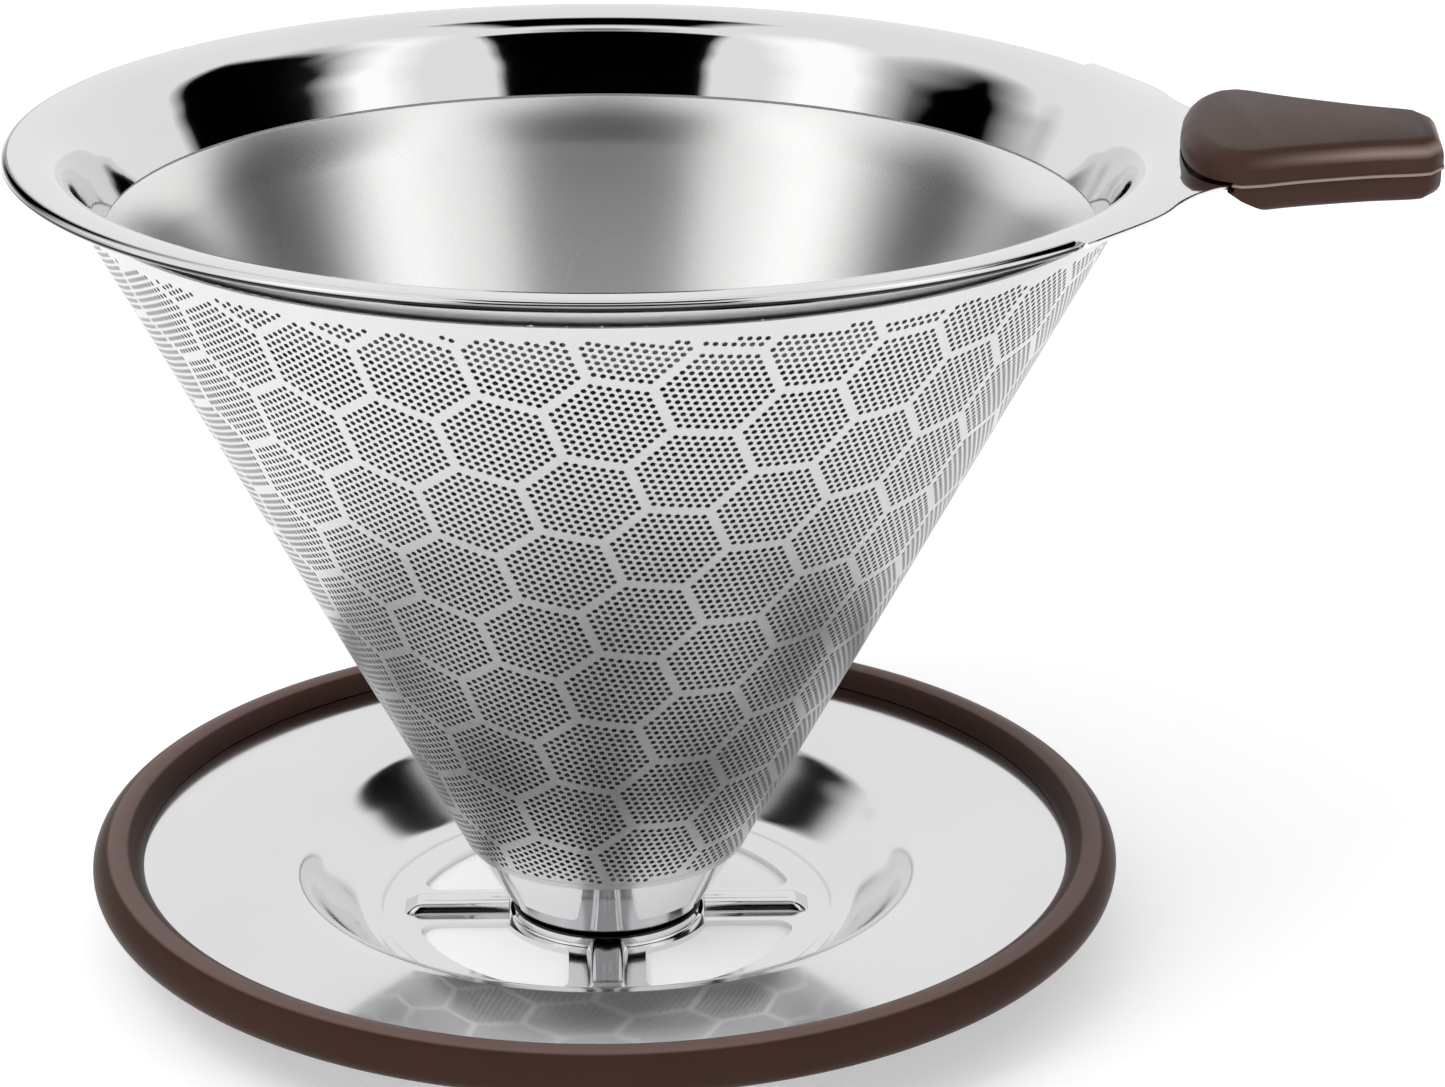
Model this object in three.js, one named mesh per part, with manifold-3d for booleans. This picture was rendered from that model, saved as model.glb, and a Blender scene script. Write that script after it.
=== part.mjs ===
// Pour-over coffee dripper: a two-layer steel filter cone with a pressed rim, a handle tab and a
// silicone grip, lifted off a pressed dish stand with a hub collar and a silicone edge ring.
// Millimetres, +Z up. Origin: centre of the stand's underside. +X points along the handle.

import * as THREE from 'three';
import { mergeVertices } from 'three/addons/utils/BufferGeometryUtils.js';
import Module from 'manifold-3d';

const wasm = await Module();
wasm.setup();

// ---- Driving dimensions ----------------------------------------------------------------------

const TURN_STEPS = 56; // flats round a full turn
const GAP = 0.3; // clearance kept between pieces that touch each other

// The outer face of the perforated sheet is the line r = CONE_SLOPE * (z - CONE_APEX_Z).
const CONE_SLOPE = 0.5265;
const CONE_APEX_Z = -19.8;
const CONE_BOTTOM_Z = 10.4;
const CONE_TOP_Z = 86.6;
const PERFORATED_SHEET = 0.45;
const MESH_SHEET = 0.3;

// Tip cup: closes the cone and stands in the hub collar on a short spigot.
const CUP_SHEET = 0.6;
const CUP_LIP_Z = 12.6;
const CUP_SHOULDER_RADIUS = 11.1;
const CUP_SHOULDER_Z = 3.0;
const CUP_ROUND = 0.8;
const CUP_SPIGOT_RADIUS = 9.8;
const CUP_FLOOR = 0.8;

// Rim flange: bowl wall, flat brim and turned-down lip, all one sheet.
const RIM_RADIUS = 62.5;
const RIM_TOP_Z = 91;
const RIM_SHEET = 0.5;
const BOWL_EDGE_Z = 82;
const BRIM_INNER_RADIUS = 59.8;
const LIP_BEND = 0.25; // inner bend radius of the lip
const LIP_BOTTOM_Z = 90.2;

// Handle tab: the brim runs out flat, with no lip, over this half angle.
const TAB_HALF_ANGLE = THREE.MathUtils.degToRad(36);
const TAB_ROOT_RADIUS = 60.6;
const TAB_END_X = 83.5;
const TAB_END_HALF_WIDTH = 4.6;

// Silicone grip over the tab.
const GRIP_BOTTOM_Z = 88;
const GRIP_TOP_Z = 94;
const GRIP_ROUND = 1.2;
const GRIP_TONGUE_END_X = 63.1; // the slanted front of the lower half starts here

// Stand: a pressed dish with a flat hub, four spokes, a curved wall and a flat brim.
const DISH_SHEET = 0.7;
const FLOOR_RADIUS = 26;
const BRIM_UNDER_Z = 8.6;
const DISH_BRIM_INNER_RADIUS = 38.5;
const DISH_RADIUS = 55.5;
const HUB_RADIUS = 12;
const WINDOW_RADIUS = 21.8;
const WINDOW_CORNER = 2;
const HUB_CORNER = 1;
const SPOKE_WIDTH = 8.5;
const SPOKE_ANGLE = THREE.MathUtils.degToRad(7.5); // from the handle to the first spoke
const RIB_WIDTH = 4.4;
const RIB_HEIGHT = 1.2;
const RIB_END_RADIUS = 22.8;

// Hub collar, welded on the hub.
const COLLAR_RADIUS = 10.75;
const COLLAR_WALL = 0.6;
const COLLAR_TOP_Z = 2.0;

// Silicone ring round the brim of the stand.
const RING_CENTRE_RADIUS = 54.5;
const RING_CENTRE_Z = 9.1;
const RING_HALF_WIDTH = 3.1;
const RING_HALF_HEIGHT = 2.6;

// ---- Materials -------------------------------------------------------------------------------

const polishedSteel = { color: 0xdcdcde, roughness: 0.12, metalness: 1 };
const satinSteel = { color: 0xb9b9bb, roughness: 0.38, metalness: 1 };
const meshSteel = { color: 0xa9a9aa, roughness: 0.5, metalness: 1 };
const brownSilicone = { color: 0x4a3530, roughness: 0.45, metalness: 0 };

// ---- Helpers ---------------------------------------------------------------------------------

const point = (x, y) => new THREE.Vector2(x, y);

/** Horizontal radius of the cone's outer face at height z, moved inwards by a sheet distance. */
function coneRadius(z, inset = 0) {
  return CONE_SLOPE * (z - CONE_APEX_Z) - inset * Math.hypot(1, CONE_SLOPE);
}

/** Points of an arc about (x, y), both ends included, angles in degrees. */
function arc(x, y, radius, fromDegrees, toDegrees, steps) {
  const from = THREE.MathUtils.degToRad(fromDegrees);
  const to = THREE.MathUtils.degToRad(toDegrees);
  return Array.from({ length: steps + 1 }, (_, i) => {
    const angle = from + ((to - from) * i) / steps;
    return point(x + radius * Math.cos(angle), y + radius * Math.sin(angle));
  });
}

/** A smooth curve through the points. */
function smooth(points, steps) {
  return new THREE.SplineCurve(points).getPoints(steps);
}

/** Closed outline of a sheet: the path is one face, and the other lies to the left of it. */
function sheetOutline(path, thickness) {
  const other = path.map((here, i) => {
    const before = path[Math.max(i - 1, 0)];
    const after = path[Math.min(i + 1, path.length - 1)];
    const along = after.clone().sub(before).normalize();
    return point(here.x - along.y * thickness, here.y + along.x * thickness);
  });
  return [...path, ...other.reverse()];
}

/** A solid of revolution about Z from an outline of (radius, height) points. */
function turned(outline, closed = true) {
  const profile = closed ? [...outline, outline[0].clone()] : outline;
  return new THREE.LatheGeometry(profile, TURN_STEPS).rotateX(Math.PI / 2);
}

/** A flat plate between two heights. */
function plate(shape, bottomZ, topZ, curveSegments = 8) {
  const depth = topZ - bottomZ;
  const options = { depth, bevelEnabled: false, curveSegments };
  return new THREE.ExtrudeGeometry(shape, options).translate(0, 0, bottomZ);
}

function toSolid(geometry) {
  const bare = geometry.clone();
  bare.deleteAttribute('normal');
  bare.deleteAttribute('uv');
  const merged = mergeVertices(bare, 1e-4);
  const vertProperties = Float32Array.from(merged.attributes.position.array);
  const triVerts = Uint32Array.from(merged.index.array);
  return new wasm.Manifold(new wasm.Mesh({ numProp: 3, vertProperties, triVerts }));
}

function toGeometry(solid) {
  const mesh = solid.getMesh();
  const geometry = new THREE.BufferGeometry();
  geometry.setAttribute('position', new THREE.BufferAttribute(mesh.vertProperties, 3));
  geometry.setIndex(new THREE.BufferAttribute(mesh.triVerts, 1));
  return geometry;
}

const cone = new THREE.Group();
const stand = new THREE.Group();

function addPiece(group, name, geometry, finish) {
  const mesh = new THREE.Mesh(geometry, new THREE.MeshStandardMaterial(finish));
  mesh.name = name;
  group.add(mesh);
}

// ---- Filter cone -----------------------------------------------------------------------------

/** A conical sheet whose outer face is inset from the perforated cone's outer face. */
function conicalSheet(bottomZ, topZ, inset, thickness) {
  return turned([
    point(coneRadius(bottomZ, inset), bottomZ),
    point(coneRadius(topZ, inset), topZ),
    point(coneRadius(topZ, inset + thickness), topZ),
    point(coneRadius(bottomZ, inset + thickness), bottomZ),
  ]);
}

/** Everything that fits inside the perforated sheet starts at this inset. */
const INNER_INSET = PERFORATED_SHEET + GAP;

/** Closed cup with a conical wall, a lip inside the perforated cone and a spigot below. */
function tipCup() {
  const spigotBottomZ = DISH_SHEET + GAP;
  const spigotTopZ = COLLAR_TOP_Z + GAP;
  const wallTopZ = CONE_BOTTOM_Z - GAP;
  const wallInset = CUP_SHEET * 1.15; // horizontal thickness of the sloping wall
  return turned(
    [
      point(0, spigotBottomZ),
      point(CUP_SPIGOT_RADIUS - 0.3, spigotBottomZ),
      point(CUP_SPIGOT_RADIUS, spigotBottomZ + 0.3),
      point(CUP_SPIGOT_RADIUS, spigotTopZ),
      ...arc(CUP_SHOULDER_RADIUS - CUP_ROUND, spigotTopZ + CUP_ROUND, CUP_ROUND, -80, -30, 3),
      point(CUP_SHOULDER_RADIUS + 0.1, CUP_SHOULDER_Z + 0.2),
      point(coneRadius(wallTopZ, PERFORATED_SHEET * 0.4), wallTopZ),
      point(coneRadius(wallTopZ, INNER_INSET), wallTopZ + 0.02),
      point(coneRadius(CUP_LIP_Z, INNER_INSET), CUP_LIP_Z),
      point(coneRadius(CUP_LIP_Z, INNER_INSET + CUP_SHEET), CUP_LIP_Z),
      point(coneRadius(wallTopZ, INNER_INSET + CUP_SHEET), wallTopZ),
      point(CUP_SHOULDER_RADIUS - wallInset, CUP_SHOULDER_Z + 0.4),
      point(CUP_SPIGOT_RADIUS - CUP_SHEET - 0.4, spigotTopZ + 0.1),
      point(CUP_SPIGOT_RADIUS - CUP_SHEET - 0.9, spigotBottomZ + CUP_FLOOR),
      point(0, spigotBottomZ + CUP_FLOOR),
    ],
    false,
  );
}

/** Bowl wall, brim and turned-down lip as one sheet, drawn along its under face. */
function rimSheet() {
  const underZ = RIM_TOP_Z - RIM_SHEET;
  const lipRadius = RIM_RADIUS - RIM_SHEET;
  const bendRadius = lipRadius - LIP_BEND;
  const bowl = smooth(
    [
      point(coneRadius(BOWL_EDGE_Z, INNER_INSET), BOWL_EDGE_Z),
      point(coneRadius(84.4, INNER_INSET), 84.4),
      point(coneRadius(CONE_TOP_Z, INNER_INSET), CONE_TOP_Z),
      point(56.6, 88.9),
      point(58.1, 90.1),
      point(BRIM_INNER_RADIUS, underZ),
    ],
    10,
  );
  const lip = arc(bendRadius, underZ - LIP_BEND, LIP_BEND, 90, 0, 4);
  return turned(sheetOutline([...bowl, ...lip, point(lipRadius, LIP_BOTTOM_Z)], RIM_SHEET));
}

/** Half of the tab's outline from the brim to its end, as points with y > 0. */
function tabSide(clearance) {
  const swept = smooth(
    [
      point(63.6 * Math.cos(TAB_HALF_ANGLE), 63.6 * Math.sin(TAB_HALF_ANGLE)),
      point(58.0, 27.2),
      point(60.6, 20.6),
      point(63.0, 16.6),
      point(66.2, 13.6),
      point(69.4, 11.2),
    ],
    14,
  );
  const end = [
    point(TAB_END_X - 1.5, TAB_END_HALF_WIDTH + 0.8),
    point(TAB_END_X, TAB_END_HALF_WIDTH - 0.8),
  ];
  return [...swept, ...end].map((p) => point(p.x + clearance, p.y + clearance));
}

/** The tab's outline, closed along an arc inside the brim. */
function tabShape(clearance = 0) {
  const side = tabSide(clearance);
  const mirrored = side.map((p) => point(p.x, -p.y)).reverse();
  const rootDegrees = THREE.MathUtils.radToDeg(TAB_HALF_ANGLE);
  const root = arc(0, 0, TAB_ROOT_RADIUS, -rootDegrees, rootDegrees, 24);
  return new THREE.Shape([...root, ...side, ...mirrored]);
}

/** The space the turned-down lip would take where the tab leaves the rim. */
function lipRelief() {
  const shape = new THREE.Shape();
  const inner = TAB_ROOT_RADIUS + 0.2;
  shape.absarc(0, 0, RIM_RADIUS + 1, -TAB_HALF_ANGLE, TAB_HALF_ANGLE, false);
  shape.absarc(0, 0, inner, TAB_HALF_ANGLE, -TAB_HALF_ANGLE, true);
  return plate(shape, LIP_BOTTOM_Z - 1, RIM_TOP_Z + 1, 16);
}

function rimFlange() {
  const tab = toSolid(plate(tabShape(), RIM_TOP_Z - RIM_SHEET, RIM_TOP_Z));
  return toGeometry(toSolid(rimSheet()).subtract(toSolid(lipRelief())).add(tab));
}

/** Plan outline of the grip: a round tongue over the brim, tapering to a clipped outer end. */
function gripShape(inset) {
  const side = [
    ...smooth([point(60.6, 5.5), point(61.6, 9.6), point(63.6, 12.9), point(66.4, 14.5)], 8),
    point(68.4, 13.9),
    point(75.5, 10.4),
    point(80, 8.5),
    point(84, 7.4),
    point(86.4, 6.7),
    point(87.4, 4.9),
  ];
  const middle = point(74, 0);
  const moved = side.map((p) => {
    const outward = p.clone().sub(middle).normalize();
    return p.clone().addScaledVector(outward, -inset);
  });
  return new THREE.Shape([...moved, ...moved.map((p) => point(p.x, -p.y)).reverse()]);
}

/** Silicone sleeve with a pocket for the tab; only its upper half reaches over the brim. */
function handleGrip() {
  const options = {
    depth: GRIP_TOP_Z - GRIP_BOTTOM_Z - 2 * GRIP_ROUND,
    bevelThickness: GRIP_ROUND,
    bevelSize: GRIP_ROUND,
    bevelSegments: 3,
  };
  const sleeve = new THREE.ExtrudeGeometry(gripShape(GRIP_ROUND), options);
  sleeve.translate(0, 0, GRIP_BOTTOM_Z + GRIP_ROUND);
  const tongueUnderZ = RIM_TOP_Z + GAP;
  const below = new THREE.Shape([
    point(55, GRIP_BOTTOM_Z - 2),
    point(GRIP_TONGUE_END_X + 9.8, GRIP_BOTTOM_Z - 2),
    point(GRIP_TONGUE_END_X, tongueUnderZ),
    point(55, tongueUnderZ),
  ]);
  const clearance = plate(below, -25, 25).rotateX(Math.PI / 2);
  const pocket = plate(tabShape(GAP), RIM_TOP_Z - RIM_SHEET - GAP, tongueUnderZ);
  return toGeometry(toSolid(sleeve).subtract(toSolid(clearance)).subtract(toSolid(pocket)));
}

// ---- Stand -----------------------------------------------------------------------------------

/** The dish before its windows are cut, drawn along its under face from the axis outwards. */
function dishBlank() {
  const wall = smooth(
    [
      point(FLOOR_RADIUS, 0),
      point(28.6, 1.1),
      point(32.2, 4.4),
      point(35.3, 7.5),
      point(DISH_BRIM_INNER_RADIUS, BRIM_UNDER_Z),
    ],
    10,
  );
  const path = [point(0, 0), point(HUB_RADIUS, 0), ...wall, point(DISH_RADIUS, BRIM_UNDER_Z)];
  return turned(sheetOutline(path, DISH_SHEET), false);
}

/** One window between two spokes that lie along local +X and +Y. */
function windowShape() {
  const half = SPOKE_WIDTH / 2;
  const outerReach = WINDOW_RADIUS - WINDOW_CORNER;
  const innerReach = HUB_RADIUS + HUB_CORNER;
  const outer = Math.asin((half + WINDOW_CORNER) / outerReach);
  const inner = Math.asin((half + HUB_CORNER) / innerReach);
  const outerX = outerReach * Math.cos(outer);
  const innerX = innerReach * Math.cos(inner);
  const quarter = Math.PI / 2;
  const shape = new THREE.Shape();
  shape.moveTo(innerX, half);
  shape.lineTo(outerX, half);
  shape.absarc(outerX, half + WINDOW_CORNER, WINDOW_CORNER, -quarter, outer, false);
  shape.absarc(0, 0, WINDOW_RADIUS, outer, quarter - outer, false);
  shape.absarc(half + WINDOW_CORNER, outerX, WINDOW_CORNER, quarter - outer, 2 * quarter, false);
  shape.lineTo(half, innerX);
  shape.absarc(half + HUB_CORNER, innerX, HUB_CORNER, 2 * quarter, 3 * quarter - inner, false);
  shape.absarc(0, 0, HUB_RADIUS, quarter - inner, inner, true);
  shape.absarc(innerX, half + HUB_CORNER, HUB_CORNER, 2 * quarter + inner, 3 * quarter, false);
  return shape;
}

/** A raised rounded rib along one spoke, lying along local +X. */
function spokeRib() {
  const startX = COLLAR_RADIUS + GAP;
  const crown = DISH_SHEET + RIB_HEIGHT;
  const half = RIB_WIDTH / 2;
  const sunk = DISH_SHEET / 2;
  const section = new THREE.Shape([
    point(-half, sunk),
    point(half, sunk),
    point(half, DISH_SHEET + 0.3),
    point(half * 0.75, crown - 0.15),
    point(half * 0.35, crown),
    point(-half * 0.35, crown),
    point(-half * 0.75, crown - 0.15),
    point(-half, DISH_SHEET + 0.3),
  ]);
  const bar = plate(section, startX, RIB_END_RADIUS);
  return bar.rotateX(Math.PI / 2).rotateZ(Math.PI / 2);
}

function standDish() {
  let dish = toSolid(dishBlank());
  for (let i = 0; i < 4; i += 1) {
    const angle = SPOKE_ANGLE + (i * Math.PI) / 2;
    const opening = plate(windowShape(), -1, DISH_SHEET + 1, 8).rotateZ(angle);
    dish = dish.subtract(toSolid(opening));
    dish = dish.add(toSolid(spokeRib().rotateZ(angle)));
  }
  return toGeometry(dish);
}

/** Short ring with a rounded top edge that the cup's spigot stands in. */
function hubCollar() {
  const inner = COLLAR_RADIUS - COLLAR_WALL;
  const bottomZ = DISH_SHEET + GAP;
  return turned([
    point(inner, bottomZ),
    point(COLLAR_RADIUS, bottomZ),
    ...arc(COLLAR_RADIUS - COLLAR_WALL / 2, COLLAR_TOP_Z - 0.3, COLLAR_WALL / 2, 0, 180, 4),
  ]);
}

/** Rounded ring with a groove on its inside for the edge of the brim. */
function standRing() {
  const grooveBottomZ = BRIM_UNDER_Z - GAP;
  const grooveTopZ = BRIM_UNDER_Z + DISH_SHEET + GAP;
  const grooveRadius = DISH_RADIUS + GAP;
  const steps = 14;
  const lower = Math.asin((grooveBottomZ - RING_CENTRE_Z) / RING_HALF_HEIGHT);
  const upper = Math.asin((grooveTopZ - RING_CENTRE_Z) / RING_HALF_HEIGHT);
  const from = -Math.PI - lower;
  const to = Math.PI - upper;
  const round = Array.from({ length: steps + 1 }, (_, i) => {
    const angle = from + ((to - from) * i) / steps;
    const across = RING_HALF_WIDTH * Math.cos(angle);
    return point(RING_CENTRE_RADIUS + across, RING_CENTRE_Z + RING_HALF_HEIGHT * Math.sin(angle));
  });
  return turned([...round, point(grooveRadius, grooveTopZ), point(grooveRadius, grooveBottomZ)]);
}

// ---- Assembly --------------------------------------------------------------------------------

const outerCone = conicalSheet(CONE_BOTTOM_Z, CONE_TOP_Z, 0, PERFORATED_SHEET);
const innerCone = conicalSheet(CUP_LIP_Z + GAP, BOWL_EDGE_Z - GAP, INNER_INSET, MESH_SHEET);

addPiece(cone, 'rim_flange', rimFlange(), polishedSteel);
addPiece(cone, 'handle_grip', handleGrip(), brownSilicone);
addPiece(cone, 'perforated_cone', outerCone, satinSteel);
addPiece(cone, 'mesh_cone', innerCone, meshSteel);
addPiece(cone, 'tip_cup', tipCup(), polishedSteel);
addPiece(stand, 'stand_dish', standDish(), polishedSteel);
addPiece(stand, 'hub_collar', hubCollar(), polishedSteel);
addPiece(stand, 'stand_ring', standRing(), brownSilicone);

const dripper = new THREE.Group();
dripper.add(stand, cone);

export default dripper;
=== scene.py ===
"""Dresses a pour-over coffee dripper: a two-layer filter cone in a pressed dish stand.

Lengths in the classes are in millimetres, unless a comment says metres, and are turned into
metres when a mesh is made.
+Z is up, +X points along the handle, and the cone's axis is the Z axis.
"""

import logging
import math
from dataclasses import dataclass, field
from enum import Enum
from typing import Callable, Sequence

import bpy
import numpy as np
from mathutils import Matrix, Vector


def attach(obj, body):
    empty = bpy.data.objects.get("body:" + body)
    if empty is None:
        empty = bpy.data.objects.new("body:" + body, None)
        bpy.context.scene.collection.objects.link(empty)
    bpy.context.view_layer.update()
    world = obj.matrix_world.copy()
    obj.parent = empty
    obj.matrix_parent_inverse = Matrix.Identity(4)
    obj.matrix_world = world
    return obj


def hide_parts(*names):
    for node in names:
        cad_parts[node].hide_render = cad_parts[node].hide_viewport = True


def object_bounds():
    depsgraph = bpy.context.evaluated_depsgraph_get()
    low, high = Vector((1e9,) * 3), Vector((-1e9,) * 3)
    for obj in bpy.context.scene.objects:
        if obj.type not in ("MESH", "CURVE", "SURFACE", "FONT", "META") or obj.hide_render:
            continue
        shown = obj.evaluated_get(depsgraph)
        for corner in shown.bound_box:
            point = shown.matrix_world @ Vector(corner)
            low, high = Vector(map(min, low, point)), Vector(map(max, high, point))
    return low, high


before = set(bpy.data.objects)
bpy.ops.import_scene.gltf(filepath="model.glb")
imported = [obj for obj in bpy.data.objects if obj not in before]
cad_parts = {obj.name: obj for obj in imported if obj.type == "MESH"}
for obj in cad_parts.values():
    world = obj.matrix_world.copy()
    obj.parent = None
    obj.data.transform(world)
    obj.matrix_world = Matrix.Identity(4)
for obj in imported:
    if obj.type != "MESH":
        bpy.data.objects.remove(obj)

CAD_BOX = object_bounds()
MM = 0.001
LARGE_STEPS = 240  # flats round a large spun piece
SMALL_STEPS = 160  # flats round a small one

log = logging.getLogger("dripper")

Point = tuple[float, float]
Tile = tuple[np.ndarray, list[list[int]]]  # vertices in millimetres, and faces


# ---- Shader maths ------------------------------------------------------------------------------


class Signal:
    """A shader socket that can be used in Python expressions."""

    def __init__(self, nodes: "Nodes", socket: bpy.types.NodeSocket) -> None:
        """Wraps one output socket of a node tree."""
        self.nodes = nodes
        self.socket = socket

    def _math(self, operation: str, *values: "Signal | float") -> "Signal":
        """Adds one Math node for the operation on the values."""
        inputs = dict(enumerate(values))
        return self.nodes.add("ShaderNodeMath", {"operation": operation}, inputs)

    def __add__(self, other: "Signal | float") -> "Signal":
        """Sum."""
        return self._math("ADD", self, other)

    __radd__ = __add__

    def __sub__(self, other: "Signal | float") -> "Signal":
        """Difference."""
        return self._math("SUBTRACT", self, other)

    def __rsub__(self, other: "Signal | float") -> "Signal":
        """Difference, the other way round."""
        return self._math("SUBTRACT", other, self)

    def __mul__(self, other: "Signal | float") -> "Signal":
        """Product."""
        return self._math("MULTIPLY", self, other)

    __rmul__ = __mul__

    def __truediv__(self, other: "Signal | float") -> "Signal":
        """Quotient."""
        return self._math("DIVIDE", self, other)

    def __rtruediv__(self, other: "Signal | float") -> "Signal":
        """Quotient, the other way round."""
        return self._math("DIVIDE", other, self)

    def root(self) -> "Signal":
        """Square root."""
        return self._math("SQRT", self)

    def sine(self) -> "Signal":
        """Sine."""
        return self._math("SINE", self)

    def cosine(self) -> "Signal":
        """Cosine."""
        return self._math("COSINE", self)

    def size(self) -> "Signal":
        """Absolute value."""
        return self._math("ABSOLUTE", self)

    def angle_from(self, other: "Signal") -> "Signal":
        """The angle whose tangent is this signal over the other one."""
        return self._math("ARCTAN2", self, other)


class Nodes:
    """Builds one material's node tree."""

    def __init__(self, material: bpy.types.Material) -> None:
        """Clears the material's tree and adds its output."""
        material.use_nodes = True
        self.tree = material.node_tree
        self.tree.nodes.clear()
        self.output = self.tree.nodes.new("ShaderNodeOutputMaterial")

    def add(
        self,
        kind: str,
        settings: dict | None = None,
        inputs: dict | None = None,
        output: str | int = 0,
    ) -> Signal:
        """Adds a node.

        Args:
            kind: The node's type name.
            settings: Properties that are set before the sockets.
            inputs: Values or signals by socket name or number.
            output: The output that the returned signal reads.

        Returns:
            The signal of the chosen output.
        """
        node = self.tree.nodes.new(kind)
        for name, value in (settings or {}).items():
            setattr(node, name, value)
        for name, value in (inputs or {}).items():
            socket = node.inputs[name]
            if isinstance(value, Signal):
                self.tree.links.new(value.socket, socket)
            else:
                socket.default_value = value
        return Signal(self, node.outputs[output])

    def place(self) -> Signal:
        """The piece's own coordinates, in metres."""
        return self.add("ShaderNodeTexCoord", output="Object")

    def axes(self) -> tuple[Signal, Signal, Signal]:
        """The piece's own coordinates as three numbers, in metres."""
        split = self.add("ShaderNodeSeparateXYZ", inputs={"Vector": self.place()})
        outputs = split.socket.node.outputs
        return Signal(self, outputs[0]), Signal(self, outputs[1]), Signal(self, outputs[2])

    def stretched(self, scale: tuple[float, float, float]) -> Signal:
        """The piece's own coordinates, scaled along each axis."""
        return self.add("ShaderNodeMapping", inputs={"Vector": self.place(), "Scale": scale})

    def noise(self, scale: float, detail: float = 2.0, where: Signal | None = None) -> Signal:
        """Noise from 0 to 1 with a number of patches per metre."""
        inputs = {"Vector": where or self.place(), "Scale": scale, "Detail": detail}
        return self.add("ShaderNodeTexNoise", inputs=inputs)

    def between(
        self,
        factor: Signal,
        low: "Signal | Sequence[float]",
        high: "Signal | Sequence[float]",
    ) -> Signal:
        """A colour between two colours, each a signal or three numbers.

        Args:
            factor: From 0 for the low colour to 1 for the high one.
            low: The first colour.
            high: The second colour.

        Returns:
            The mixed colour.
        """
        ends = [c if isinstance(c, Signal) else (*c, 1.0) for c in (low, high)]
        inputs = {0: factor, 6: ends[0], 7: ends[1]}
        return self.add("ShaderNodeMix", {"data_type": "RGBA"}, inputs, output=2)

    def ranged(
        self, value: Signal, low: float, high: float, to_low: float, to_high: float
    ) -> Signal:
        """The value moved from one range to another, clamped.

        Args:
            value: The signal to move.
            low: Start of its own range.
            high: End of its own range.
            to_low: What the start becomes.
            to_high: What the end becomes.

        Returns:
            The moved signal.
        """
        inputs = {
            "Value": value,
            "From Min": low,
            "From Max": high,
            "To Min": to_low,
            "To Max": to_high,
        }
        return self.add("ShaderNodeMapRange", inputs=inputs)

    def bump(self, height: Signal, strength: float, distance: float) -> Signal:
        """A bumped normal from a height signal."""
        inputs = {"Height": height, "Strength": strength, "Distance": distance}
        return self.add("ShaderNodeBump", inputs=inputs)

    def finish(self, inputs: dict) -> None:
        """Adds the main shader with its inputs and links it to the output."""
        shader = self.add("ShaderNodeBsdfPrincipled", inputs=inputs)
        self.tree.links.new(shader.socket, self.output.inputs["Surface"])


# ---- Finishes ----------------------------------------------------------------------------------


@dataclass(frozen=True)
class Line:
    """A line of painted shade or painted highlight round a piece, between two heights and outside a
    radius, in millimetres.
    """

    low: float
    high: float
    radius: float = 0.0
    soft: float = 0.08
    fade: float = 0.08
    # Dark by default: the colour of painted shade.
    color: tuple[float, float, float] = (0.03, 0.03, 0.03)

    def signal(self, nodes: Nodes) -> Signal:
        """How far a point takes on the line's colour, from 0 to 1.

        Args:
            nodes: The material's nodes.

        Returns:
            The line's share at each point.
        """
        x, y, z = nodes.axes()
        from_axis = (x * x + y * y).root()
        low, high, soft = self.low * MM, self.high * MM, self.soft * MM
        radius, fade = self.radius * MM, self.fade * MM
        inside = nodes.ranged(z, low - soft, low, 0.0, 1.0)
        inside *= nodes.ranged(z, high, high + soft, 1.0, 0.0)
        return inside * nodes.ranged(from_axis, radius - fade, radius, 0.0, 1.0)


class Finish:
    """A finish that makes one material; each kind says what its nodes are."""

    name: str

    def build(self) -> bpy.types.Material:
        """Makes the material.

        Returns:
            The finished material.
        """
        material = bpy.data.materials.new(self.name)
        self.shade(Nodes(material))
        return material

    def shade(self, nodes: Nodes) -> None:
        """Adds the nodes; every kind of finish has its own."""
        raise NotImplementedError


@dataclass(frozen=True)
class PolishedSteel(Finish):
    """Mirror-polished stainless sheet, a little wavy from the press."""

    name: str = "polished steel"
    color: tuple[float, float, float] = (0.82, 0.82, 0.83)
    dull: tuple[float, float, float] = (0.74, 0.74, 0.75)
    roughness: float = 0.045
    smear: float = 0.05
    press_wave: float = 0.25
    wipe_height: float = 0.004
    lines: tuple[Line, ...] = ()

    def shade(self, nodes: Nodes) -> None:
        """Clouded roughness from wiping, faint wiping lines and press waves.

        Args:
            nodes: The material's nodes.
        """
        cloud = nodes.noise(38.0, 3.0)
        wiped = nodes.noise(900.0, 2.0, nodes.stretched((1.0, 1.0, 0.12)))
        wave = nodes.noise(26.0, 1.0)
        height = wave * self.press_wave + wiped * self.wipe_height
        color = nodes.between(cloud, self.dull, self.color)
        # Each line paints shade or a dark reflection into the colour.
        for line in self.lines:
            color = nodes.between(line.signal(nodes), color, line.color)
        nodes.finish(
            {
                "Base Color": color,
                "Metallic": 1.0,
                "Roughness": self.roughness + nodes.ranged(cloud, 0.45, 0.75, 0.0, self.smear),
                "Normal": nodes.bump(height, 0.25, 0.0012),
            }
        )


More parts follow.
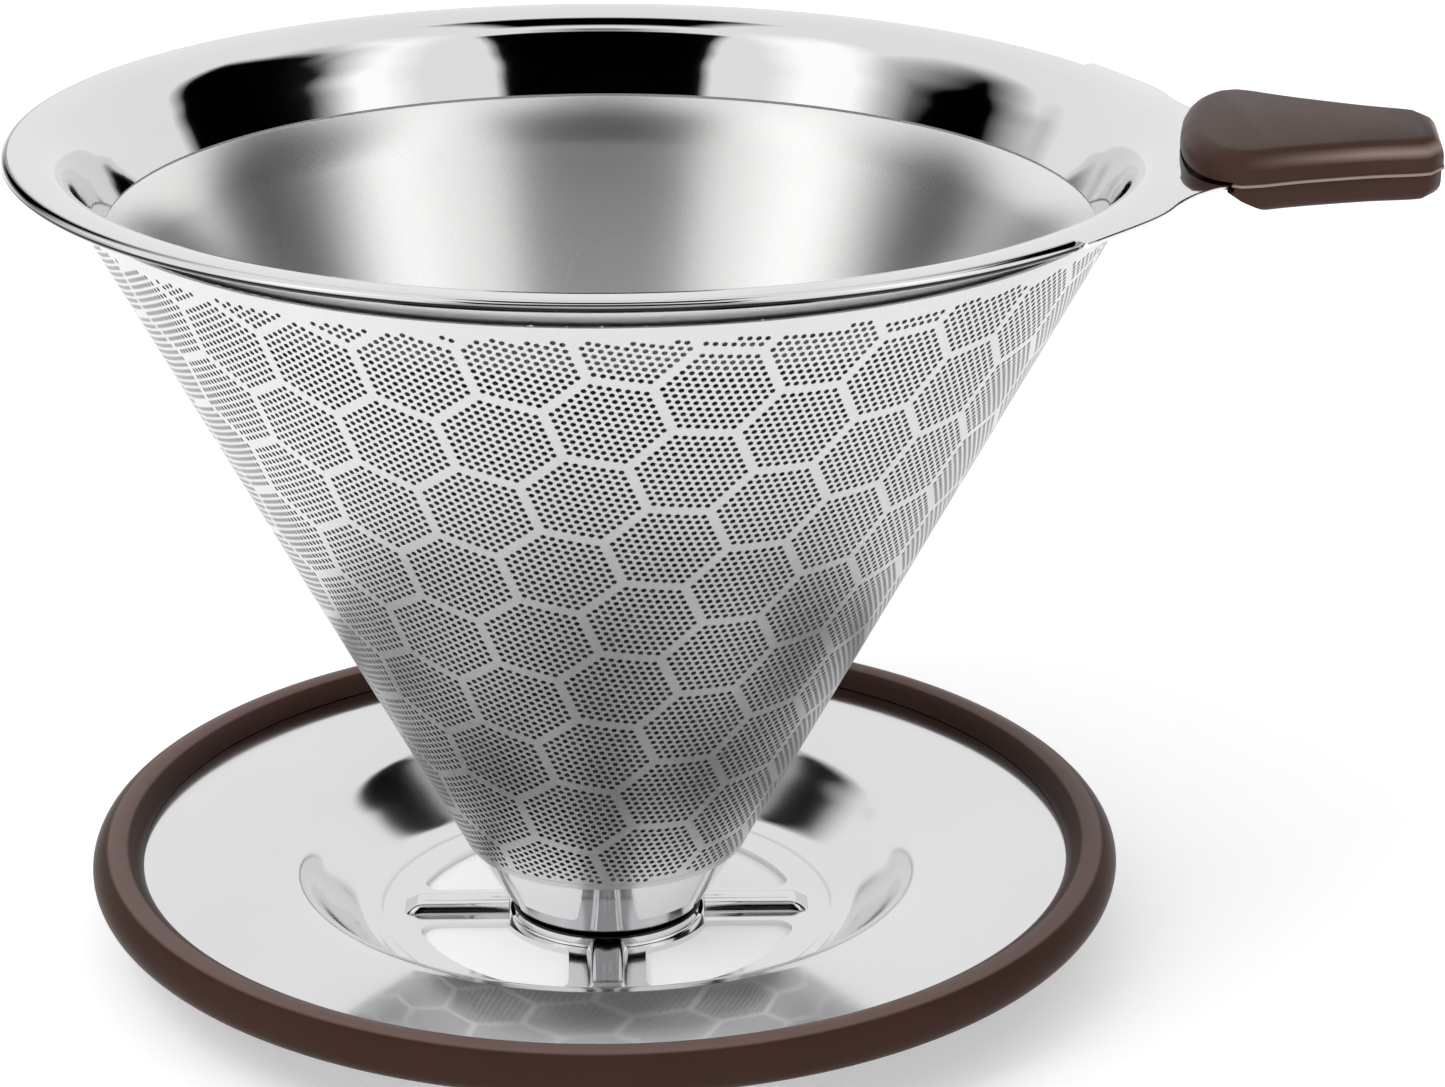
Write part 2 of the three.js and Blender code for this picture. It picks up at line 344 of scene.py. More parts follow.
@dataclass(frozen=True)
class SatinSheet(Finish):
    """Satin stainless sheet, brushed along the flat blank before it was rolled into a cone."""

    cone: "Cone"
    name: str = "satin perforated sheet"
    color: tuple[float, float, float] = (0.74, 0.74, 0.75)
    dull: tuple[float, float, float] = (0.66, 0.66, 0.67)
    roughness: float = 0.36

    def shade(self, nodes: Nodes) -> None:
        """Brushed grain round the cone and soft clouding.

        Args:
            nodes: The material's nodes.
        """
        across, along = self.cone.blank_signals(nodes)
        grain_place = nodes.add(
            "ShaderNodeCombineXYZ", inputs={0: across * 60.0, 1: along * 2500.0, 2: 0.0}
        )
        grain = nodes.noise(1.0, 2.0, grain_place)
        cloud = nodes.noise(60.0, 2.0)
        nodes.finish(
            {
                "Base Color": nodes.between(cloud, self.dull, self.color),
                "Metallic": 1.0,
                "Roughness": self.roughness + (grain - 0.5) * 0.12 + (cloud - 0.5) * 0.08,
                "Normal": nodes.bump(grain, 0.12, 0.00004),
            }
        )


@dataclass(frozen=True)
class CutEdge(Finish):
    """The wall of a cut hole or window, dark with oxide and with painted shade."""

    name: str = "laser-cut edge"
    # Near black: oxide darkened further with painted shade.
    color: tuple[float, float, float] = (0.012, 0.0115, 0.011)
    light: tuple[float, float, float] = (0.035, 0.034, 0.033)

    def shade(self, nodes: Nodes) -> None:
        """Dark mottled oxide with painted shade, hardly metallic.

        Args:
            nodes: The material's nodes.
        """
        mottle = nodes.noise(2500.0, 1.0)
        nodes.finish(
            {
                "Base Color": nodes.between(mottle, self.color, self.light),
                "Metallic": 0.2,
                "Specular IOR Level": 0.1,
                "Roughness": 0.6 + mottle * 0.2,
            }
        )


@dataclass(frozen=True)
class WovenMesh(Finish):
    """Fine stainless mesh of round wires, woven in the flat and rolled into a cone."""

    cone: "Cone"
    name: str = "woven mesh"
    wire_pitch: float = 0.28
    color: tuple[float, float, float] = (0.93, 0.93, 0.92)
    gap_color: tuple[float, float, float] = (0.86, 0.86, 0.85)
    roughness: float = 0.27
    metal: float = 1.0

    def shade(self, nodes: Nodes) -> None:
        """Wires over and under in both directions.

        Args:
            nodes: The material's nodes.
        """
        across, along = self.cone.blank_signals(nodes)
        turns = math.pi / (self.wire_pitch * MM)
        weave = (across * turns).sine() * (along * turns).sine()
        height = weave.size().root()
        cloud = nodes.noise(45.0, 2.0)
        nodes.finish(
            {
                "Base Color": nodes.between(height, self.gap_color, self.color),
                "Metallic": self.metal,
                "Specular IOR Level": self.metal / 2,
                "Roughness": self.roughness + (cloud - 0.5) * 0.08,
                "Normal": nodes.bump(height, 0.04, 0.00003),
            }
        )


@dataclass(frozen=True)
class Silicone(Finish):
    """Dark brown moulded silicone with a fine matt grain and painted highlights along its crests.
    """

    name: str = "brown silicone"
    color: tuple[float, float, float] = (0.040, 0.0195, 0.0138)
    worn: tuple[float, float, float] = (0.050, 0.026, 0.0195)
    roughness: float = 0.34
    sheen: float = 0.035
    lines: tuple[Line, ...] = ()

    def shade(self, nodes: Nodes) -> None:
        """Slight colour drift, matt patches, painted highlights on the crests and moulded grain.

        Args:
            nodes: The material's nodes.
        """
        cloud = nodes.noise(70.0, 3.0)
        grain = nodes.noise(4200.0, 2.0)
        color = nodes.between(cloud, self.color, self.worn)
        # Each line paints a highlight into the colour.
        for line in self.lines:
            color = nodes.between(line.signal(nodes), color, line.color)
        nodes.finish(
            {
                "Base Color": color,
                "Roughness": self.roughness + (cloud - 0.5) * 0.16 + (grain - 0.5) * 0.06,
                "Specular IOR Level": self.sheen,
                "Normal": nodes.bump(grain, 0.18, 0.00005),
            }
        )


@dataclass(frozen=True)
class PaleFloor(Finish):
    """Plain pale table."""

    name: str = "pale floor"
    color: tuple[float, float, float] = (0.95, 0.95, 0.95)
    glow: float = 0.2

    def shade(self, nodes: Nodes) -> None:
        """One pale colour with the least mottling.

        Args:
            nodes: The material's nodes.
        """
        lighter = tuple(min(1.0, c + 0.03) for c in self.color)
        nodes.finish(
            {
                "Base Color": nodes.between(nodes.noise(3.0), self.color, lighter),
                "Roughness": 0.7,
                "Emission Color": (1.0, 1.0, 1.0, 1.0),
                "Emission Strength": self.glow,
            }
        )


# ---- Working by hand -----------------------------------------------------------------------------


class Way(Enum):
    """How a boolean combines two objects."""

    CUT = "DIFFERENCE"
    JOIN = "UNION"


class Bench:
    """The steps that a modeller takes at the bench, each one a few operators."""

    @staticmethod
    def clear() -> None:
        """Leaves edit mode with nothing selected."""
        if bpy.context.object and bpy.context.object.mode != "OBJECT":
            bpy.ops.object.mode_set(mode="OBJECT")
        bpy.ops.object.select_all(action="DESELECT")

    @staticmethod
    def pick(obj: bpy.types.Object) -> None:
        """Makes one object the only one selected and active.

        Args:
            obj: The object.
        """
        Bench.clear()
        obj.select_set(True)
        bpy.context.view_layer.objects.active = obj

    @staticmethod
    def edit(obj: bpy.types.Object, select: bool = True) -> None:
        """Opens an object in edit mode with all or nothing selected.

        Args:
            obj: The object.
            select: True to select all of it.
        """
        Bench.pick(obj)
        bpy.ops.object.mode_set(mode="EDIT")
        bpy.ops.mesh.select_all(action="SELECT" if select else "DESELECT")

    @staticmethod
    def wire(name: str, points: Sequence[tuple[float, float, float]]) -> bpy.types.Object:
        """Draws a closed wire by extruding one vertex from point to point.

        Args:
            name: The new object's name.
            points: Corners in millimetres.

        Returns:
            The wire, its object at the origin and left in edit mode, all selected.
        """
        corners = [Vector(p) * MM for p in points]
        Bench.clear()
        bpy.ops.mesh.primitive_plane_add(size=MM, location=corners[0])
        obj = bpy.context.object
        obj.name = obj.data.name = name
        bpy.ops.object.transform_apply(location=True, rotation=True, scale=True)
        Bench.edit(obj)
        bpy.ops.mesh.merge(type="CENTER")
        for before, after in zip(corners, corners[1:]):
            step = {"value": after - before}
            bpy.ops.mesh.extrude_vertices_move(TRANSFORM_OT_translate=step)
        bpy.ops.mesh.select_all(action="DESELECT")
        bpy.ops.object.mode_set(mode="OBJECT")
        ends = (obj.data.vertices[0], obj.data.vertices[len(obj.data.vertices) - 1])
        for end in ends:
            end.select = True
        bpy.ops.object.mode_set(mode="EDIT")
        bpy.ops.mesh.edge_face_add()
        bpy.ops.mesh.select_all(action="SELECT")
        return obj

    @staticmethod
    def spun(
        name: str, outline: Sequence[Point], steps: int, on_axis: bool = False
    ) -> bpy.types.Object:
        """Spins a closed outline of (radius, height) points about the Z axis.

        Args:
            name: The new object's name.
            outline: The outline's corners in millimetres.
            steps: Flats round the full turn.
            on_axis: True where the outline starts and ends on the axis.

        Returns:
            A closed solid with its faces pointing out.
        """
        obj = Bench.wire(name, [(r, 0.0, z) for r, z in outline])
        if on_axis:
            bpy.ops.mesh.select_all(action="DESELECT")
            bpy.ops.object.mode_set(mode="OBJECT")
            last = len(obj.data.vertices) - 1
            for edge in obj.data.edges:
                edge.select = set(edge.vertices) == {0, last}
            bpy.ops.object.mode_set(mode="EDIT")
            bpy.ops.mesh.select_mode(type="EDGE")
            bpy.ops.mesh.delete(type="EDGE")
            bpy.ops.mesh.select_mode(type="VERT")
            bpy.ops.mesh.select_all(action="SELECT")
        bpy.ops.mesh.spin(steps=steps, angle=math.tau, center=(0, 0, 0), axis=(0, 0, 1))
        Bench.weld(obj)
        return obj

    @staticmethod
    def weld(obj: bpy.types.Object, distance: float = 0.002) -> None:
        """Merges doubles closer than a distance in millimetres and points the faces outwards.

        Args:
            obj: The object.
            distance: The most that merged points lie apart, in millimetres.
        """
        Bench.edit(obj)
        bpy.ops.mesh.remove_doubles(threshold=distance * MM)
        bpy.ops.mesh.normals_make_consistent(inside=False)
        bpy.ops.object.mode_set(mode="OBJECT")

    @staticmethod
    def prism(name: str, outline: Sequence[Point], low: float, high: float) -> bpy.types.Object:
        """Raises a flat outline of (x, y) points into a prism between two heights.

        Args:
            name: The new object's name.
            outline: Corners in millimetres.
            low: Height of the lower face.
            high: Height of the upper face.

        Returns:
            The prism.
        """
        obj = Bench.wire(name, [(x, y, low) for x, y in outline])
        bpy.ops.mesh.edge_face_add()
        lift = {"value": (0.0, 0.0, (high - low) * MM)}
        bpy.ops.mesh.extrude_region_move(TRANSFORM_OT_translate=lift)
        Bench.weld(obj, 0.0005)
        return obj

    @staticmethod
    def combine(obj: bpy.types.Object, tool: bpy.types.Object, way: Way) -> None:
        """Cuts or joins with another object, which is used up.

        Args:
            obj: The piece that is kept.
            tool: The object that is used up.
            way: Cut or join.
        """
        Bench.pick(obj)
        modifier = obj.modifiers.new("combine", "BOOLEAN")
        modifier.operation = way.value
        modifier.object = tool
        modifier.solver = "EXACT"
        bpy.ops.object.modifier_apply(modifier=modifier.name)
        bpy.data.objects.remove(tool)

    @staticmethod
    def bevel(
        obj: bpy.types.Object,
        width: float,
        segments: int,
        wanted: Callable[[Vector, Vector], bool],
    ) -> None:
        """Rounds the edges whose two ends (in millimetres) are wanted.

        Args:
            obj: The piece.
            width: Bevel width in millimetres.
            segments: Steps across the round.
            wanted: Says from an edge's two ends whether it is rounded.
        """
        Bench.edit(obj, select=False)
        bpy.ops.object.mode_set(mode="OBJECT")
        vertices = obj.data.vertices
        for edge in obj.data.edges:
            ends = [vertices[i].co / MM for i in edge.vertices]
            edge.select = wanted(*ends)
        bpy.ops.object.mode_set(mode="EDIT")
        bpy.ops.mesh.select_mode(type="EDGE")
        bpy.ops.mesh.bevel(offset=width * MM, segments=segments, affect="EDGES")
        bpy.ops.mesh.select_mode(type="VERT")
        bpy.ops.object.mode_set(mode="OBJECT")

    @staticmethod
    def modify(obj: bpy.types.Object, kind: str, **settings: object) -> None:
        """Adds a modifier with its settings and applies it.

        Args:
            obj: The piece.
            kind: The modifier's type.
            **settings: Its properties by name.
        """
        Bench.pick(obj)
        modifier = obj.modifiers.new(kind.lower(), kind)
        for name, value in settings.items():
            setattr(modifier, name, value)
        bpy.ops.object.modifier_apply(modifier=modifier.name)

    @staticmethod
    def smooth(obj: bpy.types.Object, degrees: float = 35.0) -> None:
        """Shades smooth, with edges sharper than the angle kept crisp."""
        Bench.pick(obj)
        bpy.ops.object.shade_smooth_by_angle(angle=math.radians(degrees))

    @staticmethod
    def dress(obj: bpy.types.Object, *materials: bpy.types.Material) -> None:
        """Gives a piece its material slots.

        Args:
            obj: The piece, whose faces keep their slot numbers.
            *materials: One for each slot.
        """
        kept = [0] * len(obj.data.polygons)
        obj.data.polygons.foreach_get("material_index", kept)
        obj.data.materials.clear()
        for material in materials:
            obj.data.materials.append(material)
        obj.data.polygons.foreach_set("material_index", kept)


# ---- Outlines ------------------------------------------------------------------------------------


def arc(x: float, y: float, radius: float, start: float, end: float, steps: int) -> list[Point]:
    """Points of an arc about (x, y), both ends included, angles in degrees."""
    angles = np.radians(np.linspace(start, end, steps + 1))
    return [(x + radius * math.cos(a), y + radius * math.sin(a)) for a in angles]


def curve(points: Sequence[Point], steps: int) -> list[Point]:
    """A smooth curve through the points.

    Args:
        points: Points that the curve passes through.
        steps: Steps between two of them.

    Returns:
        The points of the curve, both ends included.
    """
    p = np.array([points[0], *points, points[-1]], float)
    p[0] = 2 * p[1] - p[2]
    p[-1] = 2 * p[-2] - p[-3]
    found: list[Point] = []
    for a, b, c, d in zip(p, p[1:], p[2:], p[3:]):
        for t in np.linspace(0, 1, steps, endpoint=False):
            q = b * 2 + (c - a) * t + (2 * a - 5 * b + 4 * c - d) * t**2
            q = (q + (3 * b - a - 3 * c + d) * t**3) / 2
            found.append((float(q[0]), float(q[1])))
    found.append((float(p[-2][0]), float(p[-2][1])))
    return found


def sheet(path: Sequence[Point], thickness: float, edge_steps: int = 4) -> list[Point]:
    """Closed outline of a sheet with rounded ends; the second face lies to the left of the path.

    Args:
        path: Points along one face.
        thickness: The sheet's thickness.
        edge_steps: Steps round each rounded end.

    Returns:
        The outline, along the path and back on the other face.
    """
    p = np.array(path, float)
    along = np.gradient(p, axis=0)
    along /= np.linalg.norm(along, axis=1)[:, None]
    left = np.stack([-along[:, 1], along[:, 0]], axis=1)
    other = p + left * thickness
    half = thickness / 2

    def cap(at: np.ndarray, forward: np.ndarray, side: np.ndarray) -> list[Point]:
        """Half a circle from the first face round to the second.

        Args:
            at: The path's end.
            forward: The way out of the end.
            side: The way to the second face.

        Returns:
            Points between the two faces.
        """
        middle = at + side * half
        angles = np.linspace(0, math.pi, edge_steps + 1)[1:-1]
        spots = [middle - side * half * math.cos(a) + forward * half * math.sin(a) for a in angles]
        return [(float(q[0]), float(q[1])) for q in spots]

    end = cap(p[-1], along[-1], left[-1])
    start = cap(p[0], -along[0], left[0])[::-1]
    first = [(float(q[0]), float(q[1])) for q in p]
    back = [(float(q[0]), float(q[1])) for q in other[::-1]]
    return first + end + back + start


def mirrored(side: Sequence[Point]) -> list[Point]:
    """An outline made of one side and its mirror image across the X axis."""
    return [*side, *((x, -y) for x, y in reversed(side))]


def outward(face: bpy.types.MeshPolygon) -> float:
    """Above zero where a face looks away from the axis, below zero where it looks towards it."""
    return face.normal.x * face.center.x + face.normal.y * face.center.y


# ---- The cone's geometry -------------------------------------------------------------------------


@dataclass(frozen=True)
class Cone:
    """The cone that the sheets are rolled to: r = slope * (z - apex_z) on the outer face."""

    slope: float = 0.5265
    apex_z: float = -19.8
    seam_degrees: float = 90.0

    @property
    def half_angle(self) -> float:
        """Half the cone's angle, in radians."""
        return math.atan(self.slope)

    def radius(self, z: float, inset: float = 0.0) -> float:
        """Radius at a height, with the face moved inwards by a distance square to it."""
        return self.slope * (z - self.apex_z) - inset * math.hypot(1.0, self.slope)

    def reach(self, z: float) -> float:
        """Distance from the apex to height z, along the outer face."""
        return (z - self.apex_z) / math.cos(self.half_angle)

    def roll(self, flat: np.ndarray) -> np.ndarray:
        """Rolls points of the flat blank onto the cone.

        Args:
            flat: Points (x, y, height over the outer face), the apex at the origin and the
                side opposite the seam along +X.

        Returns:
            The points on the cone.
        """
        reach = np.hypot(flat[:, 0], flat[:, 1])
        spread = math.sin(self.half_angle)
        around = np.arctan2(flat[:, 1], flat[:, 0]) / spread
        around += math.radians(self.seam_degrees - 180.0)
        radius = reach * spread + flat[:, 2] * math.cos(self.half_angle)
        height = self.apex_z + reach * math.cos(self.half_angle) - flat[:, 2] * spread
        return np.stack([radius * np.cos(around), radius * np.sin(around), height], axis=1)

    def blank_signals(self, nodes: Nodes) -> tuple[Signal, Signal]:
        """Shader signals for a point's place on the flat blank, in metres.

        Args:
            nodes: The material's nodes.

        Returns:
            How far the point lies round the cone, and how far up it.
        """
        x, y, z = nodes.axes()
        high = z - self.apex_z * MM
        reach = (x * x + y * y + high * high).root()
        turn = math.radians(self.seam_degrees - 180.0)
        level_x = x * math.cos(turn) + y * math.sin(turn)
        level_y = y * math.cos(turn) - x * math.sin(turn)
        angle = level_y.angle_from(level_x) * math.sin(self.half_angle)
        return reach * angle.sine(), reach * angle.cosine()


# ---- Filter cone ---------------------------------------------------------------------------------


@dataclass
class RimFlange:
    """Pressed rim: bowl wall, flat brim, turned-down lip and the handle tab, one sheet."""

    cone: Cone
    finish: PolishedSteel
    under_finish: SatinSheet
    radius: float = 62.5
    top_z: float = 91.0
    thickness: float = 0.5
    bowl_edge_z: float = 82.0
    inset: float = 0.75
    brim_inner: float = 59.8
    bend: float = 0.25
    lip_bottom_z: float = 90.2
    tab_half_angle: float = 36.0
    tab_root: float = 60.6
    tab_end: float = 83.5
    tab_end_half: float = 4.6
    edge_round: float = 0.16
    relief_over: float = 1.5
    relief_in: float = 0.2
    round_from: float = 0.6
    level_normal: float = -0.2
    steps: int = LARGE_STEPS

    def profile(self) -> list[Point]:
        """The under face from the bowl's lower edge out to the lip, as a closed sheet outline.

        Returns:
            Corners as (radius, height).
        """
        under = self.top_z - self.thickness
        lip = self.radius - self.thickness
        bowl = curve(
            [
                (self.cone.radius(self.bowl_edge_z, self.inset), self.bowl_edge_z),
                (self.cone.radius(84.4, self.inset), 84.4),
                (self.cone.radius(86.6, self.inset), 86.6),
                (56.6, 88.9),
                (58.1, 90.1),
                (self.brim_inner, under),
            ],
            6,
        )
        turned = arc(lip - self.bend, under - self.bend, self.bend, 90, 0, 6)
        return sheet([*bowl, *turned[:-1], (lip, self.lip_bottom_z)], self.thickness, 2)

    def tab_outline(self) -> list[Point]:
        """The tab from the brim out to its end inside the grip.

        Returns:
            Corners as (x, y).
        """
        root = math.radians(self.tab_half_angle)
        swept = curve(
            [
                (63.6 * math.cos(root), 63.6 * math.sin(root)),
                (58.0, 27.2),
                (60.6, 20.6),
                (63.0, 16.6),
                (66.2, 13.6),
                (69.4, 11.2),
            ],
            6,
        )
        end = [
            (self.tab_end - 1.5, self.tab_end_half + 0.8),
            (self.tab_end, self.tab_end_half - 0.8),
        ]
        side = [*swept, *end]
        inner = arc(0, 0, self.tab_root, -self.tab_half_angle, self.tab_half_angle, 48)
        return [*inner, *side, *((x, -y) for x, y in reversed(side))]

    def build(self) -> bpy.types.Object:
        """Spins the sheet, cuts the lip away where the tab leaves and joins the tab.

        Returns:
            The rim.
        """
        rim = Bench.spun("rim_sheet", self.profile(), self.steps)
        half = self.tab_half_angle
        outer = arc(0, 0, self.radius + self.relief_over, -half, half, 48)
        inner = arc(0, 0, self.tab_root + self.relief_in, half, -half, 48)
        relief = Bench.prism("relief", [*outer, *inner], self.lip_bottom_z - 2, self.top_z + 2)
        Bench.combine(rim, relief, Way.CUT)
        under = self.top_z - self.thickness
        tab = Bench.prism("tab", self.tab_outline(), under, self.top_z)
        limit = self.tab_root + self.round_from

        def edge_of_tab(a: Vector, b: Vector) -> bool:
            """True for the level edges of the tab clear of the brim."""
            return min(math.hypot(*a[:2]), math.hypot(*b[:2])) > limit and abs(a.z - b.z) < 0.1

        Bench.bevel(tab, self.edge_round, 3, edge_of_tab)
        Bench.combine(rim, tab, Way.JOIN)
        Bench.weld(rim)
        inner_lip = (self.radius - self.thickness - 0.1) * MM
        for face in rim.data.polygons:
            under = outward(face) > 0 or face.normal.z < self.level_normal
            face.material_index = int(under and face.center.xy.length < inner_lip)
        Bench.smooth(rim, 40)
        Bench.dress(rim, self.finish.build(), self.under_finish.build())
        return rim


@dataclass
class HandleGrip:
    """Silicone sleeve over the tab, moulded with a raised line round its middle."""

    finish: Silicone
    bottom_z: float = 88.0
    top_z: float = 94.3
    part_z: float = 91.0
    tongue_end: float = 63.1
    slant: float = 9.8
    top_round: float = 2.2
    low_round: float = 1.5
    gap: float = 0.3
    middle_x: float = 74.0
    pocket_from_x: float = 61.0

    def outline(self, inset: float = 0.0) -> list[Point]:
        """Plan outline: a round tongue over the brim, tapering to a clipped outer end.

        Args:
            inset: How far the outline is moved inwards.

        Returns:
            Corners as (x, y).
        """
        side = [
            *curve([(60.52, 0.0), (60.85, 5.4), (61.8, 10.0), (63.7, 13.5), (66.5, 15.0)], 5),
            *curve([(68.6, 14.3), (72, 12.5), (75.5, 11.0), (80, 9.3), (84, 8.2), (85.7, 7.5)], 4),
            (87.2, 4.8),
        ]
        points = np.array(mirrored(side[::-1]), float)
        points = points[np.r_[True, np.linalg.norm(np.diff(points, axis=0), axis=1) > 1e-3]]
        ahead = np.roll(points, -1, axis=0) - np.roll(points, 1, axis=0)
        ahead /= np.linalg.norm(ahead, axis=1)[:, None]
        inward = np.stack([-ahead[:, 1], ahead[:, 0]], axis=1)
        middle = np.array([self.middle_x, 0.0])
        flip = np.sign(((middle - points) * inward).sum(axis=1))[:, None]
        moved = points + inward * flip * inset
        return [(float(x), float(y)) for x, y in moved]

    def slab(
        self, low: float, high: float, inset: float, top_round: float, low_round: float
    ) -> bpy.types.Object:
        """One half of the moulding with rounded upper and lower edges.

        Args:
            low: Height of its underside.
            high: Height of its top.
            inset: Inset of its outline.
            top_round: Round of the upper edge, or 0.
            low_round: Round of the lower edge, or 0.

        Returns:
            The half.
        """
        slab = Bench.prism("slab", self.outline(inset), low, high)
        if top_round:
            Bench.bevel(slab, top_round, 5, lambda a, b: min(a.z, b.z) > high - 0.01)
        if low_round:
            Bench.bevel(slab, low_round, 5, lambda a, b: max(a.z, b.z) < low + 0.01)
        return slab

    def build(self, tab: list[Point]) -> bpy.types.Object:
        """Joins the two halves and the parting line, then cuts the pocket and the slanted front.

        Args:
            tab: The tab's outline, which the pocket clears.

        Returns:
            The grip.
        """
        grip = self.slab(self.part_z - 0.2, self.top_z, 0.0, self.top_round, 0.0)
        lower = self.slab(self.bottom_z, self.part_z, 0.15, 0.0, self.low_round)
        Bench.combine(grip, lower, Way.JOIN)
        bead = self.slab(self.part_z - 0.14, self.part_z + 0.1, -0.13, 0.0, 0.0)
        Bench.combine(grip, bead, Way.JOIN)
        under = self.part_z + self.gap
        front = [(self.tongue_end + self.slant, self.bottom_z - 2), (self.tongue_end, under)]
        wedge = Bench.prism("wedge", [(55, self.bottom_z - 2), *front, (55, under)], -20, 20)
        turn = Matrix.Rotation(math.pi / 2, 4, "X")
        wedge.data.transform(turn)
        Bench.weld(wedge)
        Bench.combine(grip, wedge, Way.CUT)
        pocket_side = [(x + self.gap if x > self.pocket_from_x else x, y) for x, y in tab]
        wide = [(x, y + math.copysign(self.gap, y)) for x, y in pocket_side]
        pocket = Bench.prism("pocket", wide, self.part_z - 0.5 - self.gap, under)
        Bench.combine(grip, pocket, Way.CUT)
        Bench.weld(grip)
        grip.name = grip.data.name = "grip_sleeve"
        Bench.smooth(grip, 50)
        Bench.dress(grip, self.finish.build())
        return grip


@dataclass(frozen=True)
class Honeycomb:
    """Hole pattern on the flat blank: hexagons of holes divided by plain bands."""

    spacing: float = 11.0
    tilt_degrees: float = 16.0
    centre: Point = (107.2, 6.91)
    rows: int = 7

    @property
    def pitch(self) -> float:
        """Distance between holes, so that the rows lie along the hexagons' sides."""
        return self.spacing / (self.rows * math.sqrt(3.0))

    def lattice(self, spacing: float, degrees: float, reach: float) -> np.ndarray:
        """All points of a triangular lattice through the centre within a reach of the apex.

        Args:
            spacing: Distance between neighbours.
            degrees: Direction of one row.
            reach: The furthest that a point lies from the apex.

        Returns:
            The points as rows of (x, y).
        """
        count = int(2.4 * reach / spacing)
        i, j = np.meshgrid(np.arange(-count, count + 1), np.arange(-count, count + 1))
        first, second = (math.radians(degrees + d) for d in (0.0, 60.0))
        x = self.centre[0] + spacing * (i * math.cos(first) + j * math.cos(second))
        y = self.centre[1] + spacing * (i * math.sin(first) + j * math.sin(second))
        points = np.stack([x.ravel(), y.ravel()], axis=1)
        return points[np.hypot(points[:, 0], points[:, 1]) < reach]

    def on_band(self, points: np.ndarray, reach: float) -> np.ndarray:
        """True for each point that lies on a plain band.

        Args:
            points: Rows of (x, y).
            reach: The furthest that a point lies from the apex.

        Returns:
            One truth value for each point.
        """
        centres = self.lattice(self.spacing, self.tilt_degrees, reach + self.spacing)
        nearest = np.full(len(points), 1e9)
        offset = np.zeros_like(points)
        for centre in centres:
            away = points - centre
            distance = np.hypot(away[:, 0], away[:, 1])
            closer = distance < nearest
            nearest[closer] = distance[closer]
            offset[closer] = away[closer]
        limit = self.spacing / 2 - self.spacing / self.rows / 4
        across = np.zeros(len(points))
        for degrees in (0.0, 60.0, 120.0):
            a = math.radians(self.tilt_degrees + degrees)
            across = np.maximum(across, np.abs(offset @ np.array([math.cos(a), math.sin(a)])))
        return across > limit


